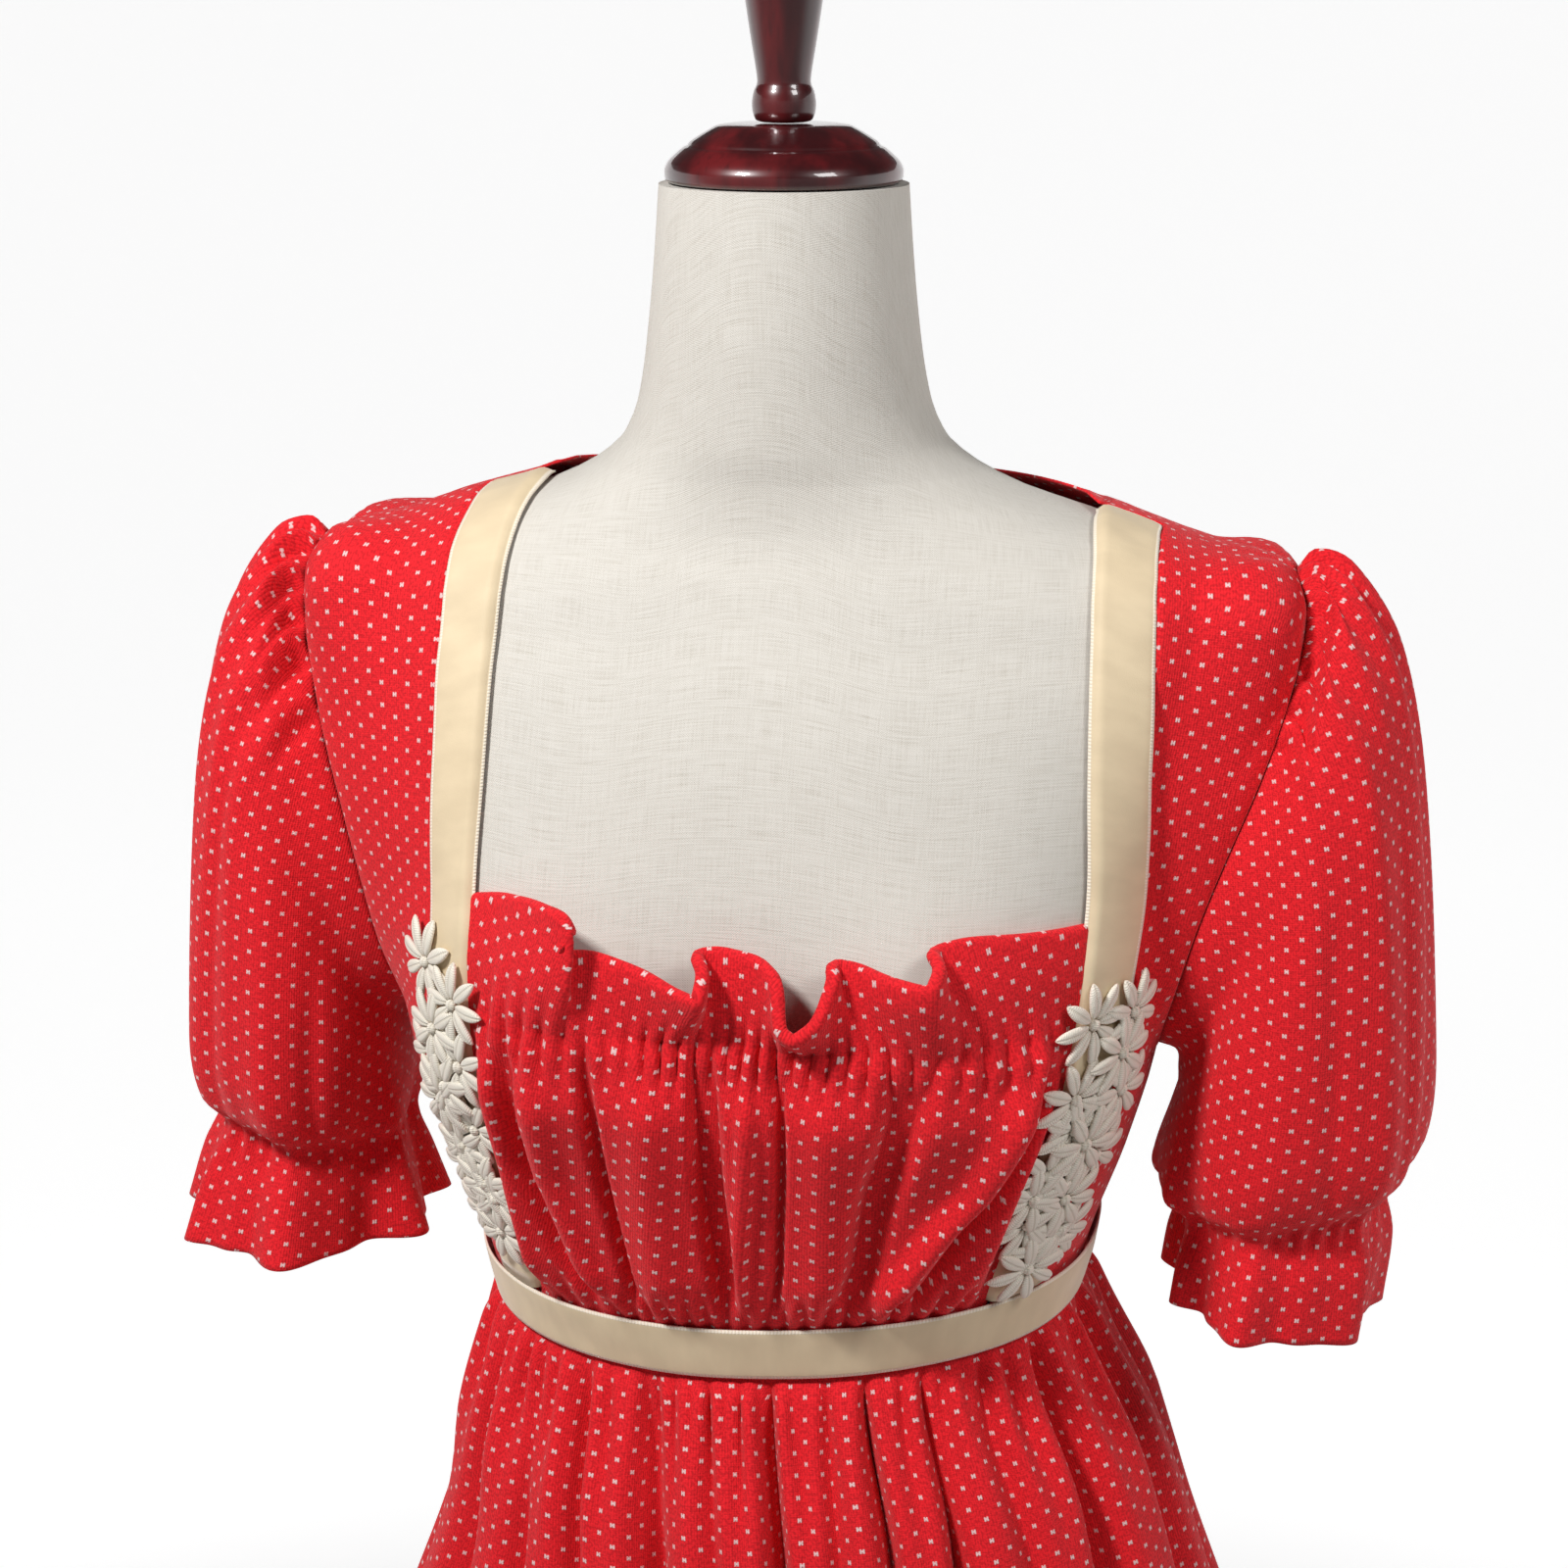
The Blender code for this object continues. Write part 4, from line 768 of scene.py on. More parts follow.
def unwrapped_map(points, step, upright):
    """Flat cloth coordinates from unwrapping a coarse copy with the least stretch."""
    rows = np.unique(np.append(np.arange(0, points.shape[0], step[0]), points.shape[0] - 1))
    columns = np.unique(np.append(np.arange(0, points.shape[1], step[1]), points.shape[1] - 1))
    coarse = points[np.ix_(rows, columns)]
    data = bpy.data.meshes.new("flat_copy")
    mesh = grid_mesh(coarse)
    mesh.to_mesh(data)
    mesh.free()
    data.uv_layers.new(name="cloth")
    copy = bpy.data.objects.new("flat_copy", data)
    bpy.context.scene.collection.objects.link(copy)
    for obj in bpy.context.selected_objects:
        obj.select_set(False)
    bpy.context.view_layer.objects.active = copy
    copy.select_set(True)
    bpy.ops.object.mode_set(mode="EDIT")
    bpy.ops.mesh.select_all(action="SELECT")
    bpy.ops.uv.unwrap(method="MINIMUM_STRETCH", iterations=20, no_flip=True, margin=0.0)
    bpy.ops.object.mode_set(mode="OBJECT")
    flat = np.zeros((coarse.shape[0] * coarse.shape[1], 2))
    corners = np.zeros(len(data.loops), int)
    places = np.zeros(2 * len(data.loops))
    data.loops.foreach_get("vertex_index", corners)
    data.uv_layers["cloth"].data.foreach_get("uv", places)
    flat[corners] = places.reshape(-1, 2)
    bpy.data.objects.remove(copy)
    flat = flat.reshape(len(rows), len(columns), 2)
    real = np.linalg.norm(np.diff(coarse, axis=0), axis=2).sum()
    drawn = np.linalg.norm(np.diff(flat, axis=0), axis=2).sum()
    grain = flat[-1, upright // step[1]] - flat[0, upright // step[1]]
    grain = grain / np.linalg.norm(grain)
    flat = np.stack([flat @ np.array([grain[1], -grain[0]]), flat @ grain], axis=2) * real / drawn
    full = np.zeros(points.shape[:2] + (2,))
    for k in range(2):
        wide = np.stack([np.interp(np.arange(points.shape[1]), columns, line)
                         for line in flat[..., k]])
        full[..., k] = np.stack([np.interp(np.arange(points.shape[0]), rows, line)
                                 for line in wide.T], axis=1)
    return lambda row, column, face_column: tuple(full[row, column])


def lay_flat(mesh, columns, flat_map):
    """Give a grid mesh its UV map in metres of flat cloth."""
    layer = mesh.loops.layers.uv.new("cloth")
    for face in mesh.faces:
        places = [divmod(loop.vert.index, columns) for loop in face.loops]
        face_column = min(place[1] for place in places)
        for loop, (row, column) in zip(face.loops, places):
            loop[layer].uv = flat_map(row, column, face_column)


def form_axis(place):
    """The form's middle line at the height of the place."""
    return (0.0, float(ring_middle(place[2])), place[2])


def upright_axis(place):
    """The skirt's middle line at the height of the place."""
    return (0.0, SKIRT_MIDDLE, place[2])


def finish_piece(name, mesh, material, replaced):
    """Make the object, smooth it, hang it on the body's empty and hide the solids that it
    replaces.
    """
    data = bpy.data.meshes.new(name)
    mesh.to_mesh(data)
    mesh.free()
    obj = bpy.data.objects.new(name, data)
    bpy.context.scene.collection.objects.link(obj)
    data.shade_smooth()
    data.materials.append(material)
    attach(obj, BODY)
    if replaced:
        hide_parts(*replaced)
    return obj


def cloth_piece(name, points, flat_map, material, replaced, wall, wrap=False,
                middle=form_axis, grow=1.0):
    """A cloth piece from rows and columns of points."""
    mesh = grid_mesh(points)
    face_outwards(mesh, middle)
    lay_flat(mesh, points.shape[1], flat_map)
    if wrap:
        bmesh.ops.remove_doubles(mesh, verts=mesh.verts, dist=1e-6)
    obj = finish_piece(name, mesh, material, replaced)
    solid = obj.modifiers.new("cloth_wall", "SOLIDIFY")
    solid.thickness = wall
    solid.offset = grow
    return obj


class Number:
    """A shader socket, or a plain number, that takes part in Python arithmetic."""

    def __init__(self, paint, socket):
        self.paint = paint
        self.socket = socket

    def maths(self, operation, *others):
        sockets = dict(enumerate([self, *others]))
        return self.paint.node("ShaderNodeMath", {"operation": operation}, sockets)

    def __add__(self, other):
        return self.maths("ADD", other)

    def __radd__(self, other):
        return self.maths("ADD", other)

    def __sub__(self, other):
        return self.maths("SUBTRACT", other)

    def __rsub__(self, other):
        return (self * -1.0) + other

    def __mul__(self, other):
        return self.maths("MULTIPLY", other)

    def __rmul__(self, other):
        return self.maths("MULTIPLY", other)

    def __truediv__(self, other):
        return self.maths("DIVIDE", other)

    def __abs__(self):
        return self.maths("ABSOLUTE")

    def floor(self):
        return self.maths("FLOOR")

    def fraction(self):
        return self.maths("FRACT")

    def sine(self):
        return self.maths("SINE")

    def larger(self, other):
        return self.maths("MAXIMUM", other)

    def rising(self, low, high):
        """0 below low, 1 above high, smooth between; low may be the larger."""
        settings = {"interpolation_type": "SMOOTHSTEP"}
        flip = low > high
        start, end = (high, low) if flip else (low, high)
        out = self.paint.node("ShaderNodeMapRange", settings,
                              {"Value": self, "From Min": start, "From Max": end})
        return 1.0 - out if flip else out


class Paint:
    """One material and the nodes in it."""

    def __init__(self, name, constants):
        self.material = bpy.data.materials.new(name)
        self.material.use_nodes = True
        self.tree = self.material.node_tree
        self.shader = self.tree.nodes["Principled BSDF"]
        for key, value in constants.items():
            self.shader.inputs[key].default_value = value

    def node(self, kind, settings, sockets, output=0):
        """Add a node: its settings first, then the values or links of its sockets."""
        made = self.tree.nodes.new(kind)
        for key, value in settings.items():
            setattr(made, key, value)
        for key, value in sockets.items():
            if isinstance(value, Number):
                self.tree.links.new(value.socket, made.inputs[key])
            else:
                made.inputs[key].default_value = value
        return Number(self, made.outputs[output])

    def uv(self):
        """Across and down the flat cloth, in millimetres."""
        flat = self.node("ShaderNodeUVMap", {"uv_map": "cloth"}, {})
        parts = [self.node("ShaderNodeSeparateXYZ", {}, {0: flat}, output=k) for k in (0, 1)]
        return parts[0] * 1000.0, parts[1] * 1000.0

    def cloth_point(self, across, down, stretch=(1.0, 1.0)):
        return self.node("ShaderNodeCombineXYZ", {},
                         {"X": across * stretch[0], "Y": down * stretch[1]})

    def place(self):
        """Place in the object's own coordinates."""
        return self.node("ShaderNodeTexCoord", {}, {}, output=3)

    def noise(self, vector, scale, detail):
        return self.node("ShaderNodeTexNoise", {},
                         {"Vector": vector, "Scale": scale, "Detail": detail})

    def mix(self, factor, first, second):
        """Blend two colours."""
        made = self.tree.nodes.new("ShaderNodeMix")
        made.data_type = "RGBA"
        for key, value in ((0, factor), (6, first), (7, second)):
            if isinstance(value, Number):
                self.tree.links.new(value.socket, made.inputs[key])
            elif key == 0:
                made.inputs[key].default_value = value
            else:
                made.inputs[key].default_value = (*value, 1.0)
        return Number(self, made.outputs[2])

    def feed(self, socket, value):
        """Link a value to the material's shader."""
        self.tree.links.new(value.socket, self.shader.inputs[socket])

    def bump(self, height, depth, strength=1.0):
        """Relief from a height of 0 to 1, depth metres deep."""
        made = self.node("ShaderNodeBump", {},
                         {"Height": height, "Distance": depth, "Strength": strength})
        self.feed("Normal", made)


COLUMN_PITCH = 6.1        # dots, mm
DOT_PITCH = 8.5
RIB_PITCH = 1.05


def red_cloth(colours):
    """Red knitted crepe with small white pin dots."""
    paint = Paint("red_pin_dot_crepe",
                  {"Roughness": 0.82, "Specular IOR Level": 0.25, "Sheen Weight": 0.18,
                   "Sheen Roughness": 0.5})
    paint.shader.inputs["Sheen Tint"].default_value = (1.0, 0.45, 0.45, 1.0)
    across, down = paint.uv()
    column = (across / COLUMN_PITCH).floor()
    odd = (column * 0.5).fraction()
    x = abs(((across / COLUMN_PITCH).fraction() - 0.5) * COLUMN_PITCH)
    y = abs(((down / DOT_PITCH + odd).fraction() - 0.5) * DOT_PITCH)
    # A dot is two upright strokes with a bridge between them
    stroke = abs(x - 0.52).rising(0.46, 0.22) * y.rising(1.02, 0.68)
    bridge = x.rising(0.70, 0.45) * y.rising(0.58, 0.28)
    dot = stroke.larger(bridge)
    pebble = paint.noise(paint.cloth_point(across, down, (1.0, 0.8)), 1.0, 2.0)
    cloud = paint.noise(paint.cloth_point(across, down), 0.03, 2.0)
    # Painted shade in the pebble's hollows, where its bump is lowest
    pebble_hollow_shade = pebble.rising(0.56, 0.40)
    rib = abs((across * (math.pi / RIB_PITCH)).sine())
    stitch = abs((down * (math.pi / (0.85 * RIB_PITCH))).sine())
    knit = rib * 0.6 + stitch * 0.25 + pebble * 0.9
    # Darker red: random cloudy tone, and painted shade in the low places of the knit's relief,
    # between ribs and stitches and in the pebble's hollows
    deep = paint.mix(cloud, colours["deep"], colours["red"])
    red = paint.mix(knit.rising(0.35, 1.15), deep, colours["red"])
    red = paint.mix(pebble_hollow_shade * 0.55, red, colours["deep"])
    thread = paint.mix(pebble, colours["dot_low"], colours["dot"])
    paint.feed("Base Color", paint.mix(dot, red, thread))
    paint.bump(knit * 0.6 + dot * 0.5, 0.00045, 0.75)
    return paint.material


def velvet(colours):
    """Cream velvet ribbon with a satin edge; across runs over the ribbon's width."""
    paint = Paint("cream_velvet",
                  {"Roughness": 0.6, "Specular IOR Level": 0.3, "Sheen Weight": 0.35,
                   "Sheen Roughness": 0.35})
    across, down = paint.uv()
    pile = paint.noise(paint.cloth_point(across, down, (1.0, 0.5)), 3.0, 2.0)
    cloud = paint.noise(paint.cloth_point(across, down, (0.5, 1.0)), 0.09, 3.0)
    width = RIBBON_WIDTH * 1000.0
    from_middle = abs(across - width / 2.0)
    edge = from_middle.rising(width / 2.0 - 1.5, width / 2.0 - 1.0)
    picot = (down * (2.0 * math.pi / 1.3)).sine() * 0.5 + 0.5
    body = paint.mix(cloud.rising(0.3, 0.75), colours["velvet_low"], colours["velvet"])
    body = paint.mix(pile * 0.25, body, colours["velvet_low"])
    satin = paint.mix(picot * 0.5, colours["satin"], colours["velvet"])
    paint.feed("Base Color", paint.mix(edge, body, satin))
    paint.bump(pile * 0.35 + edge * (picot * 0.8 + 0.3), 0.00035, 0.6)
    return paint.material


def lace_thread(colours):
    """White satin-stitch embroidery; the threads run across each petal."""
    paint = Paint("daisy_lace",
                  {"Roughness": 0.7, "Specular IOR Level": 0.35, "Sheen Weight": 0.2,
                   "Sheen Roughness": 0.4})
    across, down = paint.uv()
    thread = (down * (2.0 * math.pi / 0.80) + abs(across) * 2.5).sine() * 0.5 + 0.5
    fuzz = paint.noise(paint.cloth_point(across, down), 1.6, 3.0)
    rib = abs(across).rising(0.15, 0.55)
    shade = paint.mix(thread * 0.6 + 0.4, colours["lace_low"], colours["lace"])
    shade = paint.mix(rib, colours["lace_low"], shade)
    paint.feed("Base Color", paint.mix(fuzz * 0.25, shade, colours["lace_low"]))
    paint.bump(thread * 0.6 + rib * 0.8 + fuzz * 0.5, 0.00035, 0.7)
    return paint.material


def linen(colours):
    """Off-white linen, plain weave with slubs, stretched over the form."""
    paint = Paint("form_linen",
                  {"Roughness": 0.88, "Specular IOR Level": 0.2, "Sheen Weight": 0.08})
    across, down = paint.uv()
    warp = (across * (2.0 * math.pi / 0.95)).sine()
    weft = (down * (2.0 * math.pi / 0.85)).sine()
    weave = warp * weft * 0.5 + 0.5
    slub = paint.noise(paint.cloth_point(across, down, (0.06, 1.6)), 1.0, 3.0)
    slub_up = paint.noise(paint.cloth_point(across, down, (1.6, 0.06)), 1.0, 2.0)
    cloud = paint.noise(paint.cloth_point(across, down), 0.012, 2.0)
    threads = weave * 0.4 + slub * 0.8 + slub_up * 0.5
    body = paint.mix(threads.rising(0.3, 1.0), colours["linen_low"], colours["linen"])
    paint.feed("Base Color", paint.mix(cloud * 0.3, body, colours["linen_warm"]))
    paint.bump(threads, 0.00030, 0.6)
    return paint.material


def lacquer(colours):
    """Dark cherry wood under a glossy lacquer; the grain runs up the turned pieces."""
    paint = Paint("cherry_lacquer",
                  {"Roughness": 0.32, "Coat Weight": 1.0, "Coat Roughness": 0.05,
                   "Specular IOR Level": 0.5})
    place = paint.place()
    stretched = paint.node("ShaderNodeMapping", {"vector_type": "POINT"},
                           {"Vector": place, "Scale": (60.0, 60.0, 7.0)})
    warp = paint.noise(stretched, 1.0, 3.0)
    grain = paint.noise(paint.node("ShaderNodeMapping", {"vector_type": "POINT"},
                                   {"Vector": place, "Scale": (420.0, 420.0, 18.0)}), 1.0, 2.0)
    body = paint.mix(warp.rising(0.35, 0.7), colours["wood_low"], colours["wood"])
    paint.feed("Base Color", paint.mix(grain.rising(0.5, 0.75) * 0.5, body, colours["wood_low"]))
    paint.bump(grain * 0.4 + warp * 0.3, 0.0002, 0.12)
    return paint.material


def settings():
    """The user's choices for the dress."""
    return bpy.context.scene.dress_settings


def colours():
    """The user's colours by name."""
    chosen = settings()
    names = ("red", "deep", "dot", "dot_low", "velvet", "velvet_low", "satin", "lace",
             "lace_low", "linen", "linen_low", "linen_warm", "wood", "wood_low")
    return {name: tuple(getattr(chosen, name)) for name in names}


def shared_material(name, maker):
    """The material of that name, made once."""
    return bpy.data.materials.get(name) or maker(colours())


def front_columns(fine):
    """Columns of a side front: over the ribbon's width, then out to the armhole."""
    return np.concatenate([np.linspace(UNDER_RIBBON, 1.0, fine // 4 + 1),
                           np.linspace(1.0, 2.0, fine + 1)[1:]])


def make_side_fronts():
    """Side fronts, from the neckline's edge to the side seam and the armhole."""
    red = shared_material("red_pin_dot_crepe", red_cloth)
    for side, name in ((-1, "side_front_left"), (1, "side_front_right")):
        points = half_panel(side, front_columns(32), False)
        flat_map = unwrapped_map(points, (5, 4), 8)
        obj = cloth_piece("dress_" + name, points, flat_map, red, [name],
                          settings().cloth_wall)


def make_back():
    """Back, in one piece from armhole to armhole, with a round neckline."""
    red = shared_material("red_pin_dot_crepe", red_cloth)
    inner = np.linspace(-1.0, UNDER_RIBBON, 23)[:-1]
    columns = np.concatenate([inner, front_columns(32)])
    left = half_panel(-1, columns, True)
    right = half_panel(1, columns, True)
    points = np.concatenate([left[:, ::-1], right[:, 1:]], axis=1)
    flat_map = unwrapped_map(points, (5, 4), points.shape[1] // 2)
    obj = cloth_piece("dress_back", points, flat_map, red, ["back"],
                      settings().cloth_wall)


def bust_edges(height):
    """Turns of the bust panel's two side edges, a little way under the ribbons."""
    right = turn_at(neck_inner(height) + dress_shift(height), height)
    left = turn_at(neck_inner(height) - dress_shift(height), height)
    under = PANEL_UNDER / PANEL_REACH
    return -left - under, right + under


def crease_rise(share, level, creases):
    """Rise of the listed creases at one level of the panel, in metres."""
    total = np.zeros_like(share)
    for top, upper, lower, foot, half, rise in creases:
        middle = np.interp(level, CREASE_LEVELS, [foot, lower, upper, top])
        power = 2 if rise > 0.0 else 4
        total += MM * rise * np.exp(-((share - middle) / half) ** power)
    return total


def ruffle_edge(share):
    """The ruffle's top edge at the panel's columns: share, height, distance off the form."""
    table = np.array(RUFFLE_EDGE)
    along = np.linspace(0.0, 1.0, len(table))
    dense = np.linspace(0.0, 1.0, EDGE_STEPS)
    edge = np.stack([np.interp(dense, along, table[:, k]) for k in range(3)], axis=1)
    soft = np.hanning(2 * EDGE_SOFT + 1)
    soft = soft / soft.sum()
    for k in range(3):
        padded = np.pad(edge[:, k], EDGE_SOFT, mode="edge")
        edge[:, k] = np.convolve(padded, soft, mode="valid")
    scale = np.array([PANEL_WIDTH, 1.0, 1.0])
    return resample(edge * scale, share) / scale


def uneven_waves(share, count, seed):
    """Small gathers: waves of uneven width and height, between -1 and 1."""
    draw = np.random.default_rng(seed)
    knots = np.linspace(0.0, 1.0, count // 2)
    drift = np.interp(share, knots, draw.uniform(-0.9, 0.9, len(knots)))
    height = np.interp(share, knots, draw.uniform(0.35, 1.0, len(knots)))
    return height * np.cos(2 * np.pi * count * share + drift)


def make_bust_panel():
    """Gathered bust panel with its own ruffle above the gathering line."""
    red = shared_material("red_pin_dot_crepe", red_cloth)
    share = np.linspace(0.0, 1.0, BUST_COLUMNS)
    at_sides = ramp(np.minimum(share, 1.0 - share), *FLAT_SIDES)
    top_gathers = TOP_GATHERS[2] * (uneven_waves(share, *TOP_GATHERS[:2]) + 1.0)
    foot_gathers = FOOT_GATHERS[2] * (uneven_waves(share, *FOOT_GATHERS[:2]) + 1.0)
    rows = []
    for level in np.linspace(0.0, LAST_LEVEL, BUST_ROWS):
        left, right = bust_edges(np.array(PANEL_FOOT + (GATHER_LINE - PANEL_FOOT) * level))
        turns = left + (right - left) * share
        low = waist_height(turns) + SEAM
        heights = low + (GATHER_LINE - low) * level
        left, right = bust_edges(heights)
        turns = left + (right - left) * share
        loose = ramp(level, *PUFF_RISE) * (1.0 - PUFF_LOST * ramp(level, *PUFF_FALL))
        bridge = BUST_BRIDGE * bell(turns, 0.0, BRIDGE_SPREAD) * ramp(level, *BRIDGE_RISE)
        folds = np.maximum((PANEL_PUFF + crease_rise(share, level, BUST_CREASES)) * loose, 0.0)
        gathers = (top_gathers * bell(level, *TOP_GATHERS_AT)
                   + foot_gathers * bell(level, *FOOT_GATHERS_AT))
        rows.append(on_form(turns, heights, EASE + bridge + (folds + gathers) * at_sides))
    edge = ruffle_edge(share)
    foot = GATHER_LINE + RUFFLE_FOOT
    for level in np.linspace(0.0, 1.0, RUFFLE_ROWS + 1)[1:]:
        spread = smooth_step(level * 0.9 + 0.05) if level < 1.0 else 1.0
        across = share + (edge[:, 0] - share) * spread
        heights = foot + (edge[:, 1] - foot) * level
        left, right = bust_edges(heights)
        turns = left + (right - left) * across
        bridge = BUST_BRIDGE * bell(turns, 0.0, BRIDGE_SPREAD) * (1.0 - 0.5 * level)
        gathered = top_gathers * at_sides * (1.0 - level) ** 3
        stand = RUFFLE_STAND * (edge[:, 2] - EASE) * level ** 0.9
        rows.append(on_form(turns, heights, EASE + bridge + gathered + stand))
    points = np.stack(rows)
    points = np.concatenate([points, rolled_edge(points, EDGE_ROLL)])
    flat_map = unwrapped_map(points, (4, 4), GRAIN_COLUMN)
    obj = cloth_piece("dress_bust_panel", points, flat_map, red, ["bust_panel"],
                      settings().cloth_wall)


def rolled_edge(points, radius):
    """Rows that roll the last row of a sheet over to the inside."""
    along = np.gradient(points[-1], axis=0)
    up = points[-1] - points[-3]
    up = up / np.linalg.norm(up, axis=1, keepdims=True)
    out = np.cross(along, up)
    out = out / np.linalg.norm(out, axis=1, keepdims=True)
    rows = []
    for turn in np.radians(ROLL_TURNS):
        rows.append(points[-1] + up * radius * math.sin(turn)
                    - out * radius * (1.0 - math.cos(turn)))
    return np.stack(rows)


def make_front_ribbons():
    """Velvet ribbons along the neckline, from the waist to the shoulder seam."""
    cream = shared_material("cream_velvet", velvet)
    columns = np.linspace(0.0, 1.0, 25)
    lifts = EDGE_LIFT + (ON_CLOTH - EDGE_LIFT) * smooth_step(columns / UNDER_RIBBON)
    for side, name in ((-1, "ribbon_left"), (1, "ribbon_right")):
        foot = RIBBON_WIDTH / 2 + SEAM
        lines = [panel_column(side, column, False, lift, foot)
                 for column, lift in zip(columns, lifts)]
        points = ribbon_relief(np.stack(lines, axis=1), seed=11 + side)
        obj = ribbon_piece(name, points, cream)


def ribbon_relief(points, seed):
    """Thin selvedges, a softly raised pile and slight waves along the ribbon."""
    rows, columns = points.shape[:2]
    share = np.linspace(0.0, 1.0, columns)[None, :]
    along = np.linspace(0.0, 1.0, rows)[:, None]
    draw = np.random.default_rng(seed)
    pile = ramp(0.5 - np.abs(share - 0.5), *SELVEDGE)
    waves = np.zeros((rows, columns))
    for _ in range(7):
        count = draw.uniform(2.0, 12.0)
        slant = draw.uniform(-1.2, 1.2)
        phase = draw.uniform(0.0, 6.28)
        turn = 2 * np.pi * (count * along + slant * share) + phase
        waves += draw.uniform(0.3, 1.0) * np.sin(turn)
    rise = RIBBON_CLEAR + RIBBON_PILE * pile + RIBBON_WAVE * waves
    return points + normals_outward(points) * rise[..., None]


def normals_outward(points):
    """Normals of a grid of points on the form, turned away from it."""
    normal = normals_of(points)
    middle = np.stack([np.zeros(points.shape[:2]), ring_middle(points[..., 2]), points[..., 2]],
                      axis=-1)
    sign = np.sign(np.sum(normal * (points - middle)))
    return normal * sign


def ribbon_piece(name, points, cream, wrap=False):
    """A ribbon whose UV runs from 0 to its width across, and along it in metres."""
    columns = points.shape[1]
    mesh = grid_mesh(points)
    face_outwards(mesh, form_axis)
    layer = mesh.loops.layers.uv.new("cloth")
    down = across_and_down(points)[1]
    for face in mesh.faces:
        for loop in face.loops:
            row, column = divmod(loop.vert.index, columns)
            loop[layer].uv = (RIBBON_WIDTH * column / (columns - 1), down[row, 0])
    if wrap:
        bmesh.ops.remove_doubles(mesh, verts=mesh.verts, dist=1e-6)
    obj = finish_piece("trim_" + name, mesh, cream, [name])
    solid = obj.modifiers.new("ribbon_wall", "SOLIDIFY")
    solid.thickness = settings().ribbon_wall
    solid.offset = 1.0
    return obj


def waist_line(turns, offset, lift):
    """Points along the waist, at a height off the ribbon's middle."""
    heights = waist_height(turns) + offset
    return on_form(turns, heights, np.full_like(heights, lift))


def make_waist_ribbon():
    """Velvet ribbon all round the seam of bodice and skirt."""
    cream = shared_material("cream_velvet", velvet)
    turns = np.linspace(-np.pi, np.pi, 361)
    lines = [waist_line(turns, offset, ON_CLOTH + WAIST_EASE)
             for offset in np.linspace(-RIBBON_WIDTH / 2, RIBBON_WIDTH / 2, 13)]
    points = ribbon_relief(np.stack(lines, axis=1), seed=5)
    points[-1] = points[0]
    obj = ribbon_piece("ribbon_waist", points, cream, wrap=True)


def skirt_valleys(turns, widen):
    """Depth of the skirt's valleys at each turn."""
    depth = np.zeros_like(turns)
    for middle, deep, half in SKIRT_VALLEYS:
        gap = (np.degrees(turns) - middle + 180.0) % 360.0 - 180.0
        depth += deep * np.exp(-(gap / (half * widen)) ** 2)
    return depth


def make_skirt():
    """Gathered skirt: small gathers under the ribbon that merge into uneven folds."""
    red = shared_material("red_pin_dot_crepe", red_cloth)
    turns = np.linspace(-np.pi, np.pi, SKIRT_COLUMNS + 1)
    top = waist_line(turns, 0.0, EASE)
    ahead = waist_line(turns + 0.01, 0.0, EASE) - waist_line(turns - 0.01, 0.0, EASE)
    away = np.stack([ahead[:, 1], -ahead[:, 0]], axis=1)
    away = away / np.linalg.norm(away, axis=1, keepdims=True)
    share = np.linspace(0.0, 1.0, SKIRT_COLUMNS + 1)
    waves = []
    for count, seed, rise, low, half in (FINE_GATHERS, BROAD_GATHERS):
        wave = rise * uneven_waves(share, count, seed)
        wave[-1] = wave[0]
        waves.append((wave, low, half))
    drop_to_hem = SKIRT_ROWS[-1][0]
    rows = []
    for drop in SKIRT_DROPS:
        down = (top[:, 2] - HEM) * drop / drop_to_hem
        near_waist = 1.0 - smooth_step(drop / SKIRT_HUG[1])
        height = top[:, 2] - (drop * near_waist + down * (1.0 - near_waist))
        hugging = 1.0 - smooth_step((drop - SKIRT_HUG[0]) / (SKIRT_HUG[1] - SKIRT_HUG[0]))
        held = top + hugging * (on_form(turns, height, EASE) - top)
        folds = SKIRT_CREST - SKIRT_FALL * skirt_valleys(turns, 0.8 + 0.35 * drop / drop_to_hem)
        out = ramp(drop, *SKIRT_GATHERS_FROM)
        gathers = out * sum(rise * bell(drop, low, half) for rise, low, half in waves)
        reach = skirt_flare(drop) + skirt_fold(drop) * folds + gathers
        reach = np.maximum(reach, SKIRT_CLEAR * out)
        sway = SKIRT_SWAY * smooth_step(drop / SKIRT_SWAY_DROP)
        row = np.stack([held[:, 0] + away[:, 0] * reach + sway,
                        held[:, 1] + away[:, 1] * reach, height], axis=1)
        rows.append(keep_off(row, SKIRT_OFF_HIPS) if drop > SKIRT_HUG[1] else row)
    points = np.stack(rows)
    points[:, -1] = points[:, 0]
    anchors = fold_anchors(np.degrees(turns), [valley[0] for valley in SKIRT_VALLEYS])
    flat_map = hanging_map(points, anchors, SKIRT_GRAIN_ROW)
    obj = cloth_piece("dress_skirt", points, flat_map, red, ["skirt"],
                      settings().cloth_wall, wrap=True, middle=upright_axis)


def fold_anchors(degrees, valleys):
    """For each face column, the column at the crest of the fold that it belongs to."""
    edges = np.searchsorted(degrees, valleys)
    bounds = np.concatenate([[0], edges, [len(degrees) - 1]])
    anchors = np.zeros(len(degrees) - 1, int)
    for start, end in zip(bounds, bounds[1:]):
        anchors[start:end] = (start + end) // 2
    return anchors


def seam_ring(side, turns):
    """The sleeve's first ring: the bodice's armhole edge, a seam gap away from it."""
    wrapped = np.mod(turns + math.pi, 2 * math.pi) - math.pi
    climb = math.pi - np.abs(wrapped)
    front = armhole_point(side, climb, False)
    back = armhole_point(side, climb, True)
    ring = np.where((wrapped > 0.0)[:, None], front, back)
    ring[:, 0] += side * ARMHOLE_GAP
    return ring


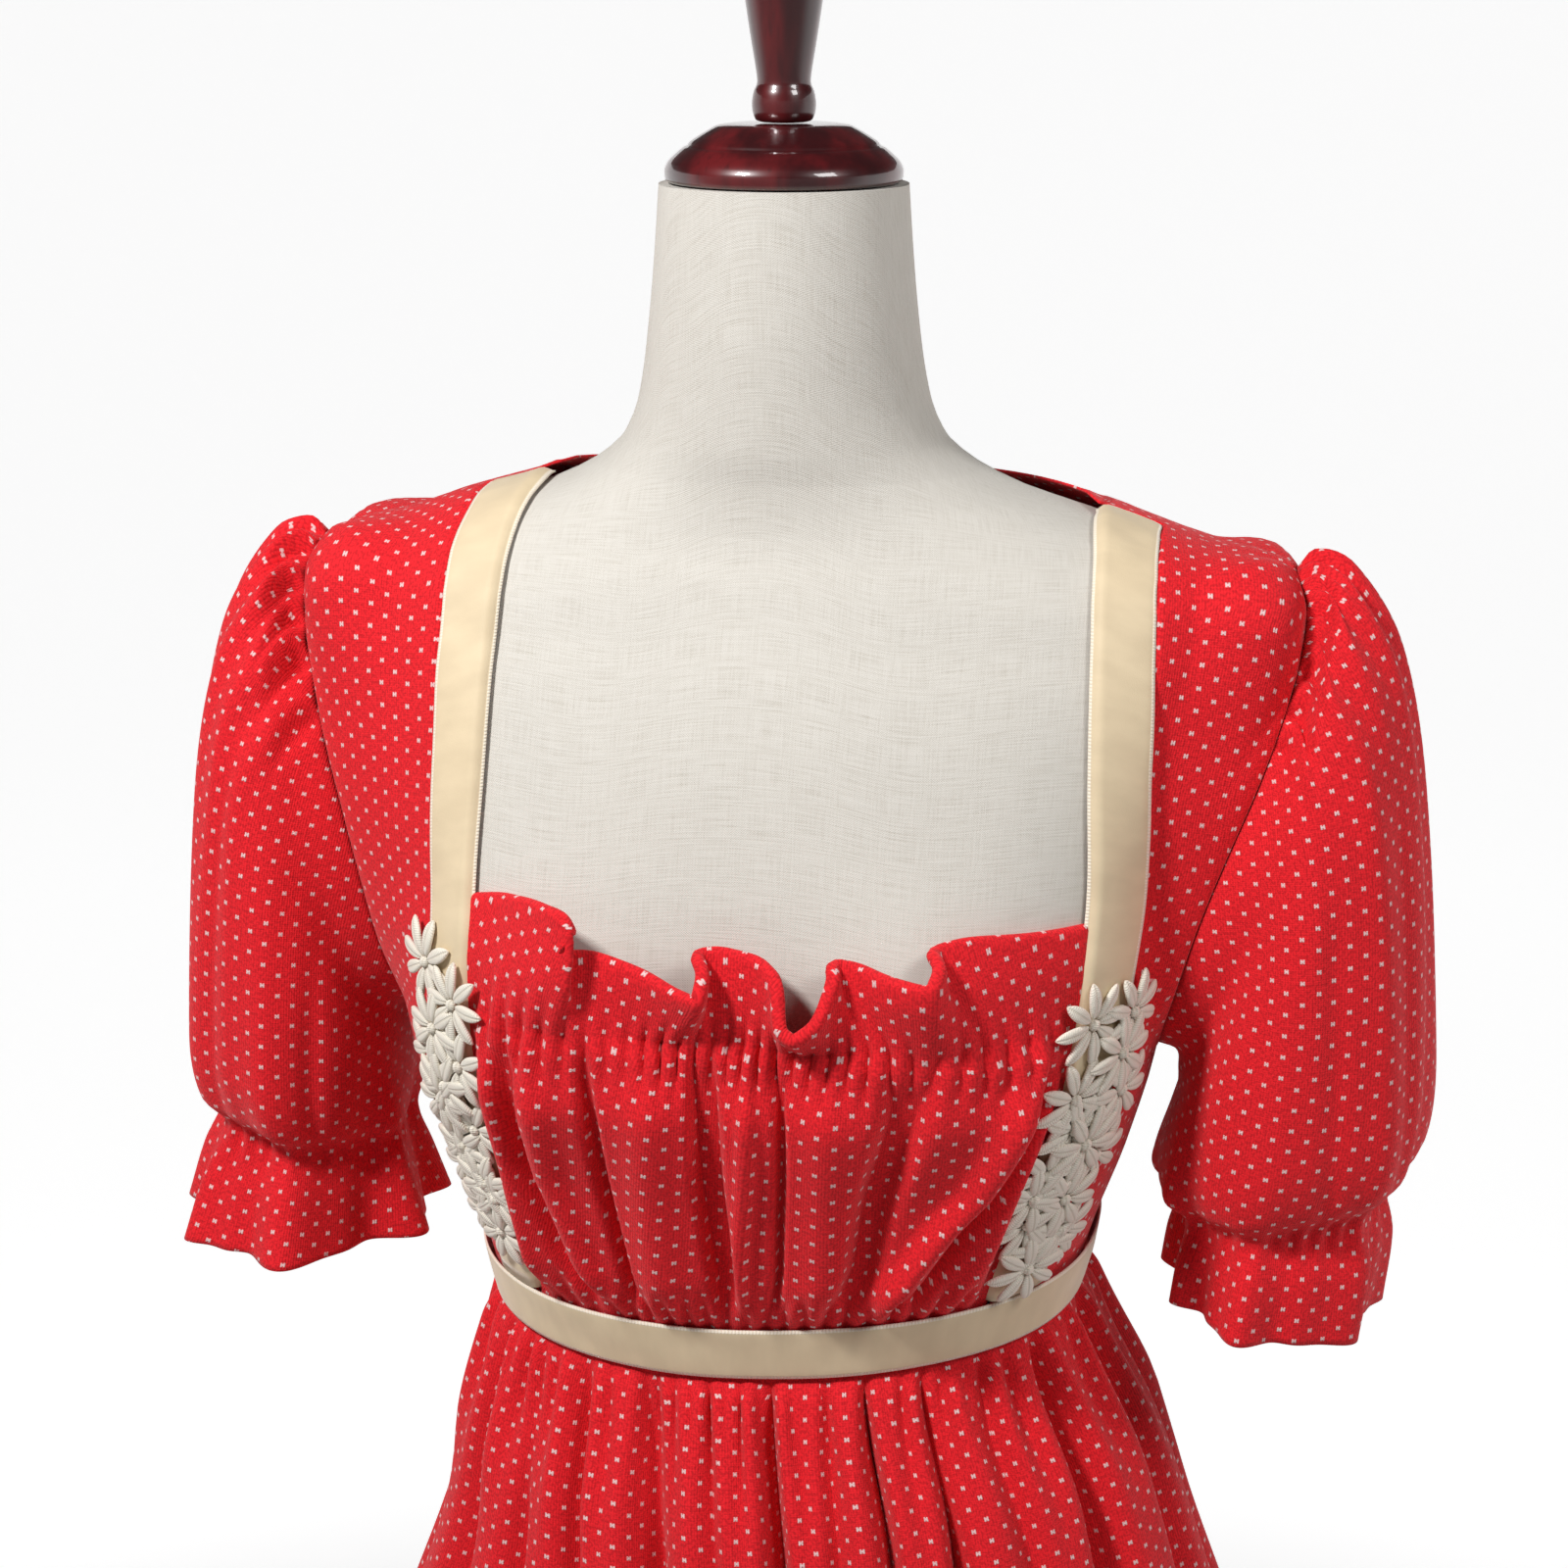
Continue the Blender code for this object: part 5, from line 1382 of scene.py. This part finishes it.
def cap_folds(turns):
    """Small folds over the sleeve's cap, none under the arm."""
    wrapped = np.mod(turns + math.pi, 2 * math.pi) - math.pi
    cap = np.clip(1.0 - np.abs(wrapped) / (CAP_REACH * 1.05), 0.0, 1.0) ** 0.4
    return cap * np.cos(math.pi * SLEEVE_GATHERS * wrapped / CAP_REACH)


def rising_ring(side, turns, seam):
    """The ring just past the seam, where the gathered cap swells out of the armhole."""
    middle = (ARMPIT + SHOULDER_TIP) / 2.0
    away = np.stack([seam[:, 1] - ARMHOLE_MIDDLE, seam[:, 2] - middle], axis=1)
    away = away / np.linalg.norm(away, axis=1, keepdims=True)
    swell = CAP_SWELL * (1.0 + 0.35 * np.cos(turns)) + CAP_GATHER * cap_folds(turns)
    risen = seam.copy()
    risen[:, 0] += side * CAP_STEP
    risen[:, 1] += away[:, 0] * swell
    risen[:, 2] += away[:, 1] * swell
    return risen


def sleeve_ring(side, turns, row):
    """A ring of the sleeve between its outer and its inner edge."""
    out_x, out_z, in_x, in_z, bow, front, back, gathers, cuff = row
    along = np.cos(turns)
    across = np.sin(turns)
    out_x = out_x + side * ARMHOLE_SHIFT
    x = (out_x + in_x) / 2 + (out_x - in_x) / 2 * along + bow * across ** 2
    z = (out_z + in_z) / 2 + (out_z - in_z) / 2 * along
    middle = (front + back) / 2
    y = middle - (back - front) / 2 * across
    folds = gathers * cap_folds(turns)
    wave = CUFF_FOLDS * turns + 0.5 * side + CUFF_DRIFT * np.sin(2 * turns + side)
    folds = folds + cuff * (np.cos(wave) + CUFF_TWICE * np.cos(2.0 * wave + 1.0)
                            + CUFF_THRICE * np.sin(3 * turns + 2 * side))
    length = math.hypot(out_x - in_x, out_z - in_z)
    x = x + folds * along * (out_x - in_x) / length
    z = z + folds * along * (out_z - in_z) / length
    y = y - folds * across
    return np.stack([side * x, y, z], axis=1)


def make_sleeves():
    """Puff sleeves: gathered cap, elastic above the cuff and a ruffle below it."""
    red = shared_material("red_pin_dot_crepe", red_cloth)
    turns = np.linspace(-math.pi, math.pi, SLEEVE_COLUMNS + 1)
    share = np.linspace(0.0, 1.0, SLEEVE_COLUMNS + 1)
    gathers = ELASTIC_GATHERS[2] * uneven_waves(share, *ELASTIC_GATHERS[:2])
    gathers[-1] = gathers[0]
    degrees = np.degrees(turns)
    for side, name, rows, pleats, long_folds in (
            (-1, "sleeve_left", LEFT_SLEEVE_ROWS, LEFT_PLEATS, LEFT_LONG_FOLDS),
            (1, "sleeve_right", RIGHT_SLEEVE_ROWS, RIGHT_PLEATS, RIGHT_LONG_FOLDS)):
        seam = seam_ring(side, turns)
        rings = [seam, rising_ring(side, turns, seam)]
        rings.extend(sleeve_ring(side, turns, row) for row in rows)
        points, knots = smooth_rows(np.stack(rings), SLEEVE_ROWS)
        level = np.linspace(0.0, 1.0, SLEEVE_ROWS)[:, None]
        elastic = knots[ELASTIC_RING]
        puff = (np.clip(level / knots[WIDEST_RING], 0.0, 1.0)
                * smooth_step((elastic - level) / 0.10))
        folds = gathers * bell(level, elastic, ELASTIC_SPREAD)
        for middle, half, depth in long_folds:
            gap = (degrees - middle + 180.0) % 360.0 - 180.0
            folds = folds + MM * depth * bell(gap, 0.0, half) * puff
        run = np.clip(level / elastic * SLEEVE_LENGTH / PLEAT_LENGTH, 0.0, 1.5)
        for middle, half, depth in pleats:
            place = middle + math.copysign(PLEAT_SWEEP, middle) * run
            deep = (smooth_step(level / (PLEAT_START * knots[RISING_RING]))
                    * (1.0 - smooth_step(run - PLEAT_FADE)))
            beside = place - math.copysign(PLEAT_SWELL[0] * half, middle)
            fold = PLEAT_SWELL[1] * bell(degrees, beside, half) - bell(degrees, place, half)
            folds = folds + MM * depth * deep * fold
        middles = points[:, :-1].mean(axis=1)
        away = points - middles[:, None]
        away = away / np.linalg.norm(away, axis=2, keepdims=True)
        points = points + away * folds[..., None]
        points[:, -1] = points[:, 0]

        def nearest_middle(place, middles=middles):
            gaps = np.sum((middles - np.array(place)) ** 2, axis=1)
            return middles[int(np.argmin(gaps))]

        flat_map = unwrapped_map(points, (4, 5), SLEEVE_COLUMNS // 2)
        obj = cloth_piece("dress_" + name, points, flat_map, red, [name],
                          settings().cloth_wall, wrap=True, middle=nearest_middle, grow=-1.0)


def smooth_rows(coarse, count):
    """More rows on a smooth curve through the given ones, and where those lie in them."""
    rows = coarse.shape[0]
    steps = np.linalg.norm(np.diff(coarse, axis=0), axis=2).mean(axis=1)
    knots = np.concatenate([[0.0], np.cumsum(steps)])
    slopes = np.zeros_like(coarse)
    slopes[1:-1] = (coarse[2:] - coarse[:-2]) / (knots[2:] - knots[:-2])[:, None, None]
    slopes[0] = (coarse[1] - coarse[0]) / steps[0]
    slopes[-1] = (coarse[-1] - coarse[-2]) / steps[-1]
    out = []
    for at in np.linspace(0.0, knots[-1], count):
        i = min(np.searchsorted(knots, at, side="right") - 1, rows - 2)
        step = steps[i]
        t = (at - knots[i]) / step
        out.append((1 + 2 * t) * (1 - t) ** 2 * coarse[i]
                   + t * (1 - t) ** 2 * step * slopes[i]
                   + t * t * (3 - 2 * t) * coarse[i + 1]
                   - t * t * (1 - t) * step * slopes[i + 1])
    return np.stack(out), knots / knots[-1]


def lace_place(side, low, aside, east, north, lift):
    """Points of a flower: east is outwards along the ribbon's width, north up it."""
    height = low + north
    middle = (turn_at(neck_inner(height) + side * dress_shift(height), height)
              + turn_at(neck_outer(height) + side * dress_shift(height), height)) / 2.0
    small = 0.01
    span = form_point(middle + small, height) - form_point(middle - small, height)
    reach = np.linalg.norm(span, axis=-1) / (2.0 * small)
    point = on_form(middle + (aside + east) / reach, height, lift)
    point[..., 0] *= side
    return point


def map_flower(made, layer, places):
    """UV map of a petal or a knot from a flat place for each vertex, in metres."""
    flat = dict(zip(made, places))
    for face in {face for vert in made for face in vert.link_faces}:
        for loop in face.loops:
            loop[layer].uv = flat[loop.vert]


def add_petal(mesh, layer, side, low, aside, spin, lift):
    """One padded petal: a flattened ball pulled into a petal's outline."""
    made = bmesh.ops.create_uvsphere(mesh, u_segments=12, v_segments=8, radius=1.0)["verts"]
    ball = np.array([vert.co[:] for vert in made])
    along = (ball[:, 2] + 1.0) / 2.0
    length = settings().petal_length
    widest = PETAL_WIDTH * length * (np.sin(np.pi * np.clip(along, 0.0, 1.0) ** 1.15)) ** 0.6
    side_way = np.hypot(ball[:, 0], ball[:, 1])
    unit = np.stack([ball[:, 0], ball[:, 1]], axis=1) / np.maximum(side_way, 1e-9)[:, None]
    out = PETAL_FROM + length * along
    across = unit[:, 0] * widest * np.minimum(side_way * 1.6, 1.0)
    groove = PETAL_GROOVE * np.maximum(unit[:, 1], 0.0) ** 8
    thick = unit[:, 1] * PETAL_THICK * np.minimum(side_way * 1.4, 1.0) - groove
    curl = PETAL_CURL * np.sin(np.pi * along)
    east = out * math.cos(spin) - across * math.sin(spin)
    north = out * math.sin(spin) + across * math.cos(spin)
    places = lace_place(side, low, aside, east, north, lift + PETAL_LIFT + thick + curl)
    for vert, place in zip(made, places):
        vert.co = place
    map_flower(made, layer, np.stack([across, out], axis=1))


def add_knot(mesh, layer, side, low, aside, lift):
    """The raised middle of a flower."""
    made = bmesh.ops.create_uvsphere(mesh, u_segments=10, v_segments=6, radius=1.0)["verts"]
    ball = np.array([vert.co[:] for vert in made])
    places = lace_place(side, low, aside, ball[:, 0] * KNOT_RADIUS, ball[:, 1] * KNOT_RADIUS,
                        lift + KNOT_LIFT + ball[:, 2] * KNOT_HEIGHT)
    for vert, place in zip(made, places):
        vert.co = place
    map_flower(made, layer, ball[:, :2] * KNOT_RADIUS + (KNOT_MAP_SHIFT, 0.0))


def make_lace():
    """Daisy lace sewn on the lower half of each front ribbon."""
    thread = shared_material("daisy_lace", lace_thread)
    for side, name, flowers in ((-1, "lace_left", DAISIES_LEFT),
                                (1, "lace_right", DAISIES_RIGHT)):
        mesh = bmesh.new()
        layer = mesh.loops.layers.uv.new("cloth")
        for order, (low, aside, turn) in enumerate(flowers):
            lift = ON_RIBBON + DAISY_STEP * (order % 3)
            for petal in range(PETALS):
                spin = math.radians(turn) + 2 * math.pi * petal / PETALS
                add_petal(mesh, layer, side, low, MM * aside, spin, lift)
            add_knot(mesh, layer, side, low, MM * aside, lift)
        bmesh.ops.recalc_face_normals(mesh, faces=mesh.faces)
        obj = finish_piece("trim_" + name, mesh, thread, [name])
        smooth = obj.modifiers.new("soft_petals", "SUBSURF")
        smooth.levels = 1
        smooth.render_levels = 1


def make_form():
    """Torso and neck of the form, at a finer resolution than its solid."""
    cloth = shared_material("form_linen", linen)
    rings = [row[0] for row in FORM_RINGS]
    heights = np.unique(np.concatenate([np.linspace(rings[0], rings[-1], FORM_ROWS), rings]))
    turns = np.linspace(-np.pi, np.pi, FORM_COLUMNS)
    points = form_point(turns[None, :], heights[:, None])
    points[:, -1] = points[:, 0]
    columns = points.shape[1]
    mesh = grid_mesh(points)
    middles = np.full(columns - 1, columns // 2)
    lay_flat(mesh, columns, hanging_map(points, middles, FORM_GRAIN_ROW))
    bmesh.ops.remove_doubles(mesh, verts=mesh.verts, dist=1e-6)
    open_edges = [edge for edge in mesh.edges if edge.is_boundary]
    bmesh.ops.holes_fill(mesh, edges=open_edges, sides=0)
    bmesh.ops.recalc_face_normals(mesh, faces=mesh.faces)
    obj = finish_piece("form_body", mesh, cloth, ["form_torso"])
    obj.data.set_sharp_from_angle(angle=math.radians(60))


# Turned pieces: radius, height
CAP_PROFILE = [
    (0.0000, 1.5213),
    (0.0430, 1.5213),
    (0.0447, 1.5225),
    (0.0450, 1.5262),
    (0.0434, 1.5295),
    (0.0380, 1.5342),
    (0.0362, 1.5348),
    (0.0352, 1.5364),
    (0.0300, 1.5396),
    (0.0238, 1.5430),
    (0.0000, 1.5430),
]
FINIAL_PROFILE = [
    (0.0000, 1.5433),
    (0.0102, 1.5433),
    (0.0118, 1.5465),
    (0.0121, 1.5505),
    (0.0114, 1.5545),
    (0.0099, 1.5575),
    (0.0104, 1.5620),
    (0.0126, 1.5750),
    (0.0150, 1.5910),
    (0.0166, 1.6080),
    (0.0165, 1.6220),
    (0.0140, 1.6340),
    (0.0085, 1.6410),
    (0.0000, 1.6440),
]
BASE_PROFILE = [
    (0.0000, 0.0000),
    (0.1720, 0.0000),
    (0.1760, 0.0040),
    (0.1760, 0.0130),
    (0.1700, 0.0180),
    (0.1500, 0.0205),
    (0.0600, 0.0240),
    (0.0300, 0.0280),
    (0.0000, 0.0280),
]
POLE_RADIUS = 0.0160


def turned(name, profile, replaced):
    """A turned piece: its profile, with rounded corners, spun once round the axis."""
    wood = shared_material("cherry_lacquer", lacquer)
    mesh = spun(rounded_profile(profile))
    obj = finish_piece(name, mesh, wood, [replaced])
    obj.data.set_sharp_from_angle(angle=math.radians(40))


def spun(profile):
    """A mesh spun once round the upright axis from a profile of radius and height."""
    mesh = bmesh.new()
    verts = [mesh.verts.new((radius, 0.0, height)) for radius, height in profile]
    edges = [mesh.edges.new(pair) for pair in zip(verts, verts[1:])]
    bmesh.ops.spin(mesh, geom=verts + edges, cent=(0, 0, 0), axis=(0, 0, 1),
                   angle=2 * math.pi, steps=96, use_merge=True, use_duplicate=False)
    bmesh.ops.remove_doubles(mesh, verts=mesh.verts, dist=1e-6)
    bmesh.ops.recalc_face_normals(mesh, faces=mesh.faces)
    return mesh


def rounded_profile(profile):
    """A profile with each corner cut twice, so that it runs round."""
    points = [np.array(point) for point in profile]
    for _ in range(2):
        cut = [points[0]]
        for first, second in zip(points, points[1:]):
            cut.append(first * 0.8 + second * 0.2)
            cut.append(first * 0.2 + second * 0.8)
        cut.append(points[-1])
        points = cut
    return [(float(point[0]), float(point[1])) for point in points]


def make_stand():
    """Neck cap, finial, pole and base."""
    turned("form_neck_cap", CAP_PROFILE, "form_cap")
    turned("form_handle", FINIAL_PROFILE, "form_finial")
    turned("form_foot", BASE_PROFILE, "form_base")
    pole = [(0.0, 0.0283), (POLE_RADIUS, 0.0283), (POLE_RADIUS, TORSO_BOTTOM - SEAM),
            (0.0, TORSO_BOTTOM - SEAM)]
    turned("form_post", pole, "form_pole")


# Studio: floor and backdrop in one sweep, and two square lights
STAGE_DROP = -0.0006      # the floor lies this far under the stand's base
SWEEP_FLAT = 4.0          # the floor is flat this far out, then bends up
SWEEP_REACH = 9.0
SWEEP_BEND = 0.14
SWEEP_GREY = 0.74
GLOW_REACH = (0.7, 1.9)   # distances from the stand at which the glow starts and is full
GLOW_BEHIND = (-2.5, 1.0)             # the same along Y, from the front to the back
GLOW_IN_FRONT = 0.18      # share of the glow in front of the dress
KEY_SIZE = 0.26
KEY_PLACE = (-0.70, -0.98, 2.45)
KEY_AIM = (0.0, -0.1, 1.20)
SIDE_SIZE = 0.5
SIDE_SHARE = 0.34         # of the key light's power
SIDE_PLACE = (1.05, -0.75, 2.35)
SIDE_AIM = (0.0, 0.0, 1.20)
FRAME_WIDTH = 36.0


def area_light(name, size, energy, place, target):
    """A soft square light that faces a point."""
    data = bpy.data.lights.new(name, "AREA")
    data.shape = "SQUARE"
    data.size = size
    data.energy = energy
    obj = bpy.data.objects.new(name, data)
    bpy.context.scene.collection.objects.link(obj)
    obj.location = place
    away = np.array(target, float) - np.array(place, float)
    flat = math.hypot(away[0], away[1])
    obj.rotation_euler = (math.pi / 2 - math.atan2(-away[2], flat), 0.0,
                          math.atan2(-away[0], away[1]))


def make_stage():
    """Pale floor, soft studio light and the photograph's camera."""
    scene = bpy.context.scene
    chosen = scene.dress_stage
    mesh = spun([(reach, STAGE_DROP + SWEEP_BEND * max(reach - SWEEP_FLAT, 0.0) ** 2)
                 for reach in np.linspace(0.0, SWEEP_REACH, 37)])
    data = bpy.data.meshes.new("studio_sweep")
    mesh.to_mesh(data)
    mesh.free()
    data.shade_smooth()
    sweep = bpy.data.objects.new("studio_sweep", data)
    scene.collection.objects.link(sweep)
    pale = Paint("studio_sweep", {"Base Color": (SWEEP_GREY,) * 3 + (1.0,), "Roughness": 0.9,
                                  "Emission Strength": chosen.glow})
    place = pale.place()
    reach = pale.node("ShaderNodeVectorMath", {"operation": "LENGTH"}, {0: place}, output=1)
    along = pale.node("ShaderNodeSeparateXYZ", {}, {0: place}, output=1)
    share = along.rising(*GLOW_BEHIND) * (1.0 - GLOW_IN_FRONT) + GLOW_IN_FRONT
    glow = reach.rising(*GLOW_REACH) * share
    pale.feed("Emission Color", pale.mix(glow, (0.0, 0.0, 0.0), (1.0, 1.0, 1.0)))
    data.materials.append(pale.material)
    world = bpy.data.worlds.new("studio")
    scene.world = world
    world.use_nodes = True
    light = world.node_tree.nodes["Background"]
    light.inputs["Color"].default_value = (1.0, 1.0, 1.0, 1.0)
    light.inputs["Strength"].default_value = chosen.fill
    scene.view_settings.view_transform = "Standard"
    area_light("key_light", KEY_SIZE, chosen.key, KEY_PLACE, KEY_AIM)
    area_light("side_light", SIDE_SIZE, chosen.key * SIDE_SHARE, SIDE_PLACE, SIDE_AIM)
    azimuth = chosen.azimuth
    camera_data = bpy.data.cameras.new("photo_camera")
    camera_data.sensor_width = FRAME_WIDTH
    camera_data.lens = chosen.lens
    camera = bpy.data.objects.new("photo_camera", camera_data)
    scene.collection.objects.link(camera)
    camera.location = (chosen.distance * math.sin(azimuth), -chosen.distance * math.cos(azimuth),
                       chosen.height)
    camera.rotation_euler = (math.pi / 2 - chosen.pitch, 0.0, azimuth)
    scene.camera = camera


def colour_value(name, default):
    return bpy.props.FloatVectorProperty(name=name, description=name, subtype="COLOR", size=3,
                                         min=0.0, max=1.0, default=default)


class DressSettings(bpy.types.PropertyGroup):
    """Walls and colours of the dress and its form."""
    cloth_wall: bpy.props.FloatProperty(
        name="Cloth", description="Thickness of the knitted cloth", default=0.0010,
        unit="LENGTH", precision=4)
    ribbon_wall: bpy.props.FloatProperty(
        name="Ribbon", description="Thickness of the velvet ribbon", default=0.0008,
        unit="LENGTH", precision=4)
    petal_length: bpy.props.FloatProperty(
        name="Petal", description="Length of a daisy's petal", default=0.0150,
        unit="LENGTH", precision=4)
    red: colour_value("Red cloth", (0.80, 0.010, 0.018))
    # Darker red: random cloudy tone, and painted shade between the knit's ribs and stitches and
    # in the pebble's hollows
    deep: colour_value("Red cloth between the ribs", (0.40, 0.002, 0.007))
    dot: colour_value("Dots", (0.86, 0.66, 0.64))
    dot_low: colour_value("Dots, shaded", (0.66, 0.36, 0.36))
    velvet: colour_value("Velvet", (0.74, 0.60, 0.40))
    velvet_low: colour_value("Velvet, shaded", (0.66, 0.53, 0.35))
    satin: colour_value("Satin edge", (0.90, 0.82, 0.70))
    lace: colour_value("Lace", (0.86, 0.81, 0.71))
    lace_low: colour_value("Lace, shaded", (0.70, 0.64, 0.53))
    linen: colour_value("Linen", (0.62, 0.59, 0.54))
    linen_low: colour_value("Linen, shaded", (0.38, 0.34, 0.28))
    linen_warm: colour_value("Linen, warm", (0.76, 0.72, 0.65))
    wood: colour_value("Wood", (0.12, 0.006, 0.008))
    wood_low: colour_value("Wood, dark grain", (0.030, 0.002, 0.003))


class DressStage(bpy.types.PropertyGroup):
    """Light and camera."""
    key: bpy.props.FloatProperty(
        name="Key light", description="Power of the light above the dress, in watts",
        default=29.0)
    fill: bpy.props.FloatProperty(
        name="Fill", description="Strength of the light from all round", default=0.04)
    glow: bpy.props.FloatProperty(
        name="Backdrop", description="Glow of the backdrop behind the dress", default=0.80)
    azimuth: bpy.props.FloatProperty(
        name="Azimuth", description="Camera's turn to the right of the front",
        default=math.radians(10.0), subtype="ANGLE")
    pitch: bpy.props.FloatProperty(
        name="Pitch", description="Camera's downward tilt", default=math.radians(16.1),
        subtype="ANGLE")
    distance: bpy.props.FloatProperty(
        name="Distance", description="Camera to the form's axis, level", default=1.120,
        unit="LENGTH")
    height: bpy.props.FloatProperty(
        name="Height", description="Camera above the floor", default=1.610, unit="LENGTH")
    lens: bpy.props.FloatProperty(
        name="Lens", description="Focal length for a 36 mm frame, in mm", default=67.5)


class DRESS_OT_form(bpy.types.Operator):
    """Build the linen form and its turned stand"""
    bl_idname = "dress.form"
    bl_label = "Form and stand"

    def execute(self, context):
        make_form()
        make_stand()
        return {"FINISHED"}


class DRESS_OT_bodice(bpy.types.Operator):
    """Build the side fronts and the back"""
    bl_idname = "dress.bodice"
    bl_label = "Bodice"

    def execute(self, context):
        make_side_fronts()
        make_back()
        return {"FINISHED"}


class DRESS_OT_bust_panel(bpy.types.Operator):
    """Build the gathered bust panel with its ruffle"""
    bl_idname = "dress.bust_panel"
    bl_label = "Bust panel"

    def execute(self, context):
        make_bust_panel()
        return {"FINISHED"}


class DRESS_OT_ribbons(bpy.types.Operator):
    """Build the velvet ribbons"""
    bl_idname = "dress.ribbons"
    bl_label = "Velvet ribbons"

    def execute(self, context):
        make_front_ribbons()
        make_waist_ribbon()
        return {"FINISHED"}


class DRESS_OT_lace(bpy.types.Operator):
    """Build the daisy lace"""
    bl_idname = "dress.lace"
    bl_label = "Daisy lace"

    def execute(self, context):
        make_lace()
        return {"FINISHED"}


class DRESS_OT_skirt(bpy.types.Operator):
    """Build the gathered skirt"""
    bl_idname = "dress.skirt"
    bl_label = "Skirt"

    def execute(self, context):
        make_skirt()
        return {"FINISHED"}


class DRESS_OT_sleeves(bpy.types.Operator):
    """Build the puff sleeves"""
    bl_idname = "dress.sleeves"
    bl_label = "Puff sleeves"

    def execute(self, context):
        make_sleeves()
        return {"FINISHED"}


class DRESS_OT_stage(bpy.types.Operator):
    """Build the floor, the light and the camera"""
    bl_idname = "dress.stage"
    bl_label = "Stage"

    def execute(self, context):
        make_stage()
        return {"FINISHED"}


OPERATORS = (DRESS_OT_form, DRESS_OT_bodice, DRESS_OT_bust_panel, DRESS_OT_ribbons,
             DRESS_OT_lace, DRESS_OT_skirt, DRESS_OT_sleeves, DRESS_OT_stage)


class DRESS_PT_panel(bpy.types.Panel):
    """Sidebar panel with one button for each piece"""
    bl_idname = "DRESS_PT_panel"
    bl_label = "Babydoll dress"
    bl_space_type = "VIEW_3D"
    bl_region_type = "UI"
    bl_category = "Dress"

    def draw(self, context):
        for operator in OPERATORS:
            self.layout.operator(operator.bl_idname)


def register():
    for group in (DressSettings, DressStage) + OPERATORS + (DRESS_PT_panel,):
        bpy.utils.register_class(group)
    bpy.types.Scene.dress_settings = bpy.props.PointerProperty(type=DressSettings)
    bpy.types.Scene.dress_stage = bpy.props.PointerProperty(type=DressStage)


def unregister():
    del bpy.types.Scene.dress_stage
    del bpy.types.Scene.dress_settings
    for group in reversed((DressSettings, DressStage) + OPERATORS + (DRESS_PT_panel,)):
        bpy.utils.unregister_class(group)


def main():
    register()
    for operator in OPERATORS:
        group, name = operator.bl_idname.split(".")
        getattr(getattr(bpy.ops, group), name)()


if __name__ == "__main__":
    main()
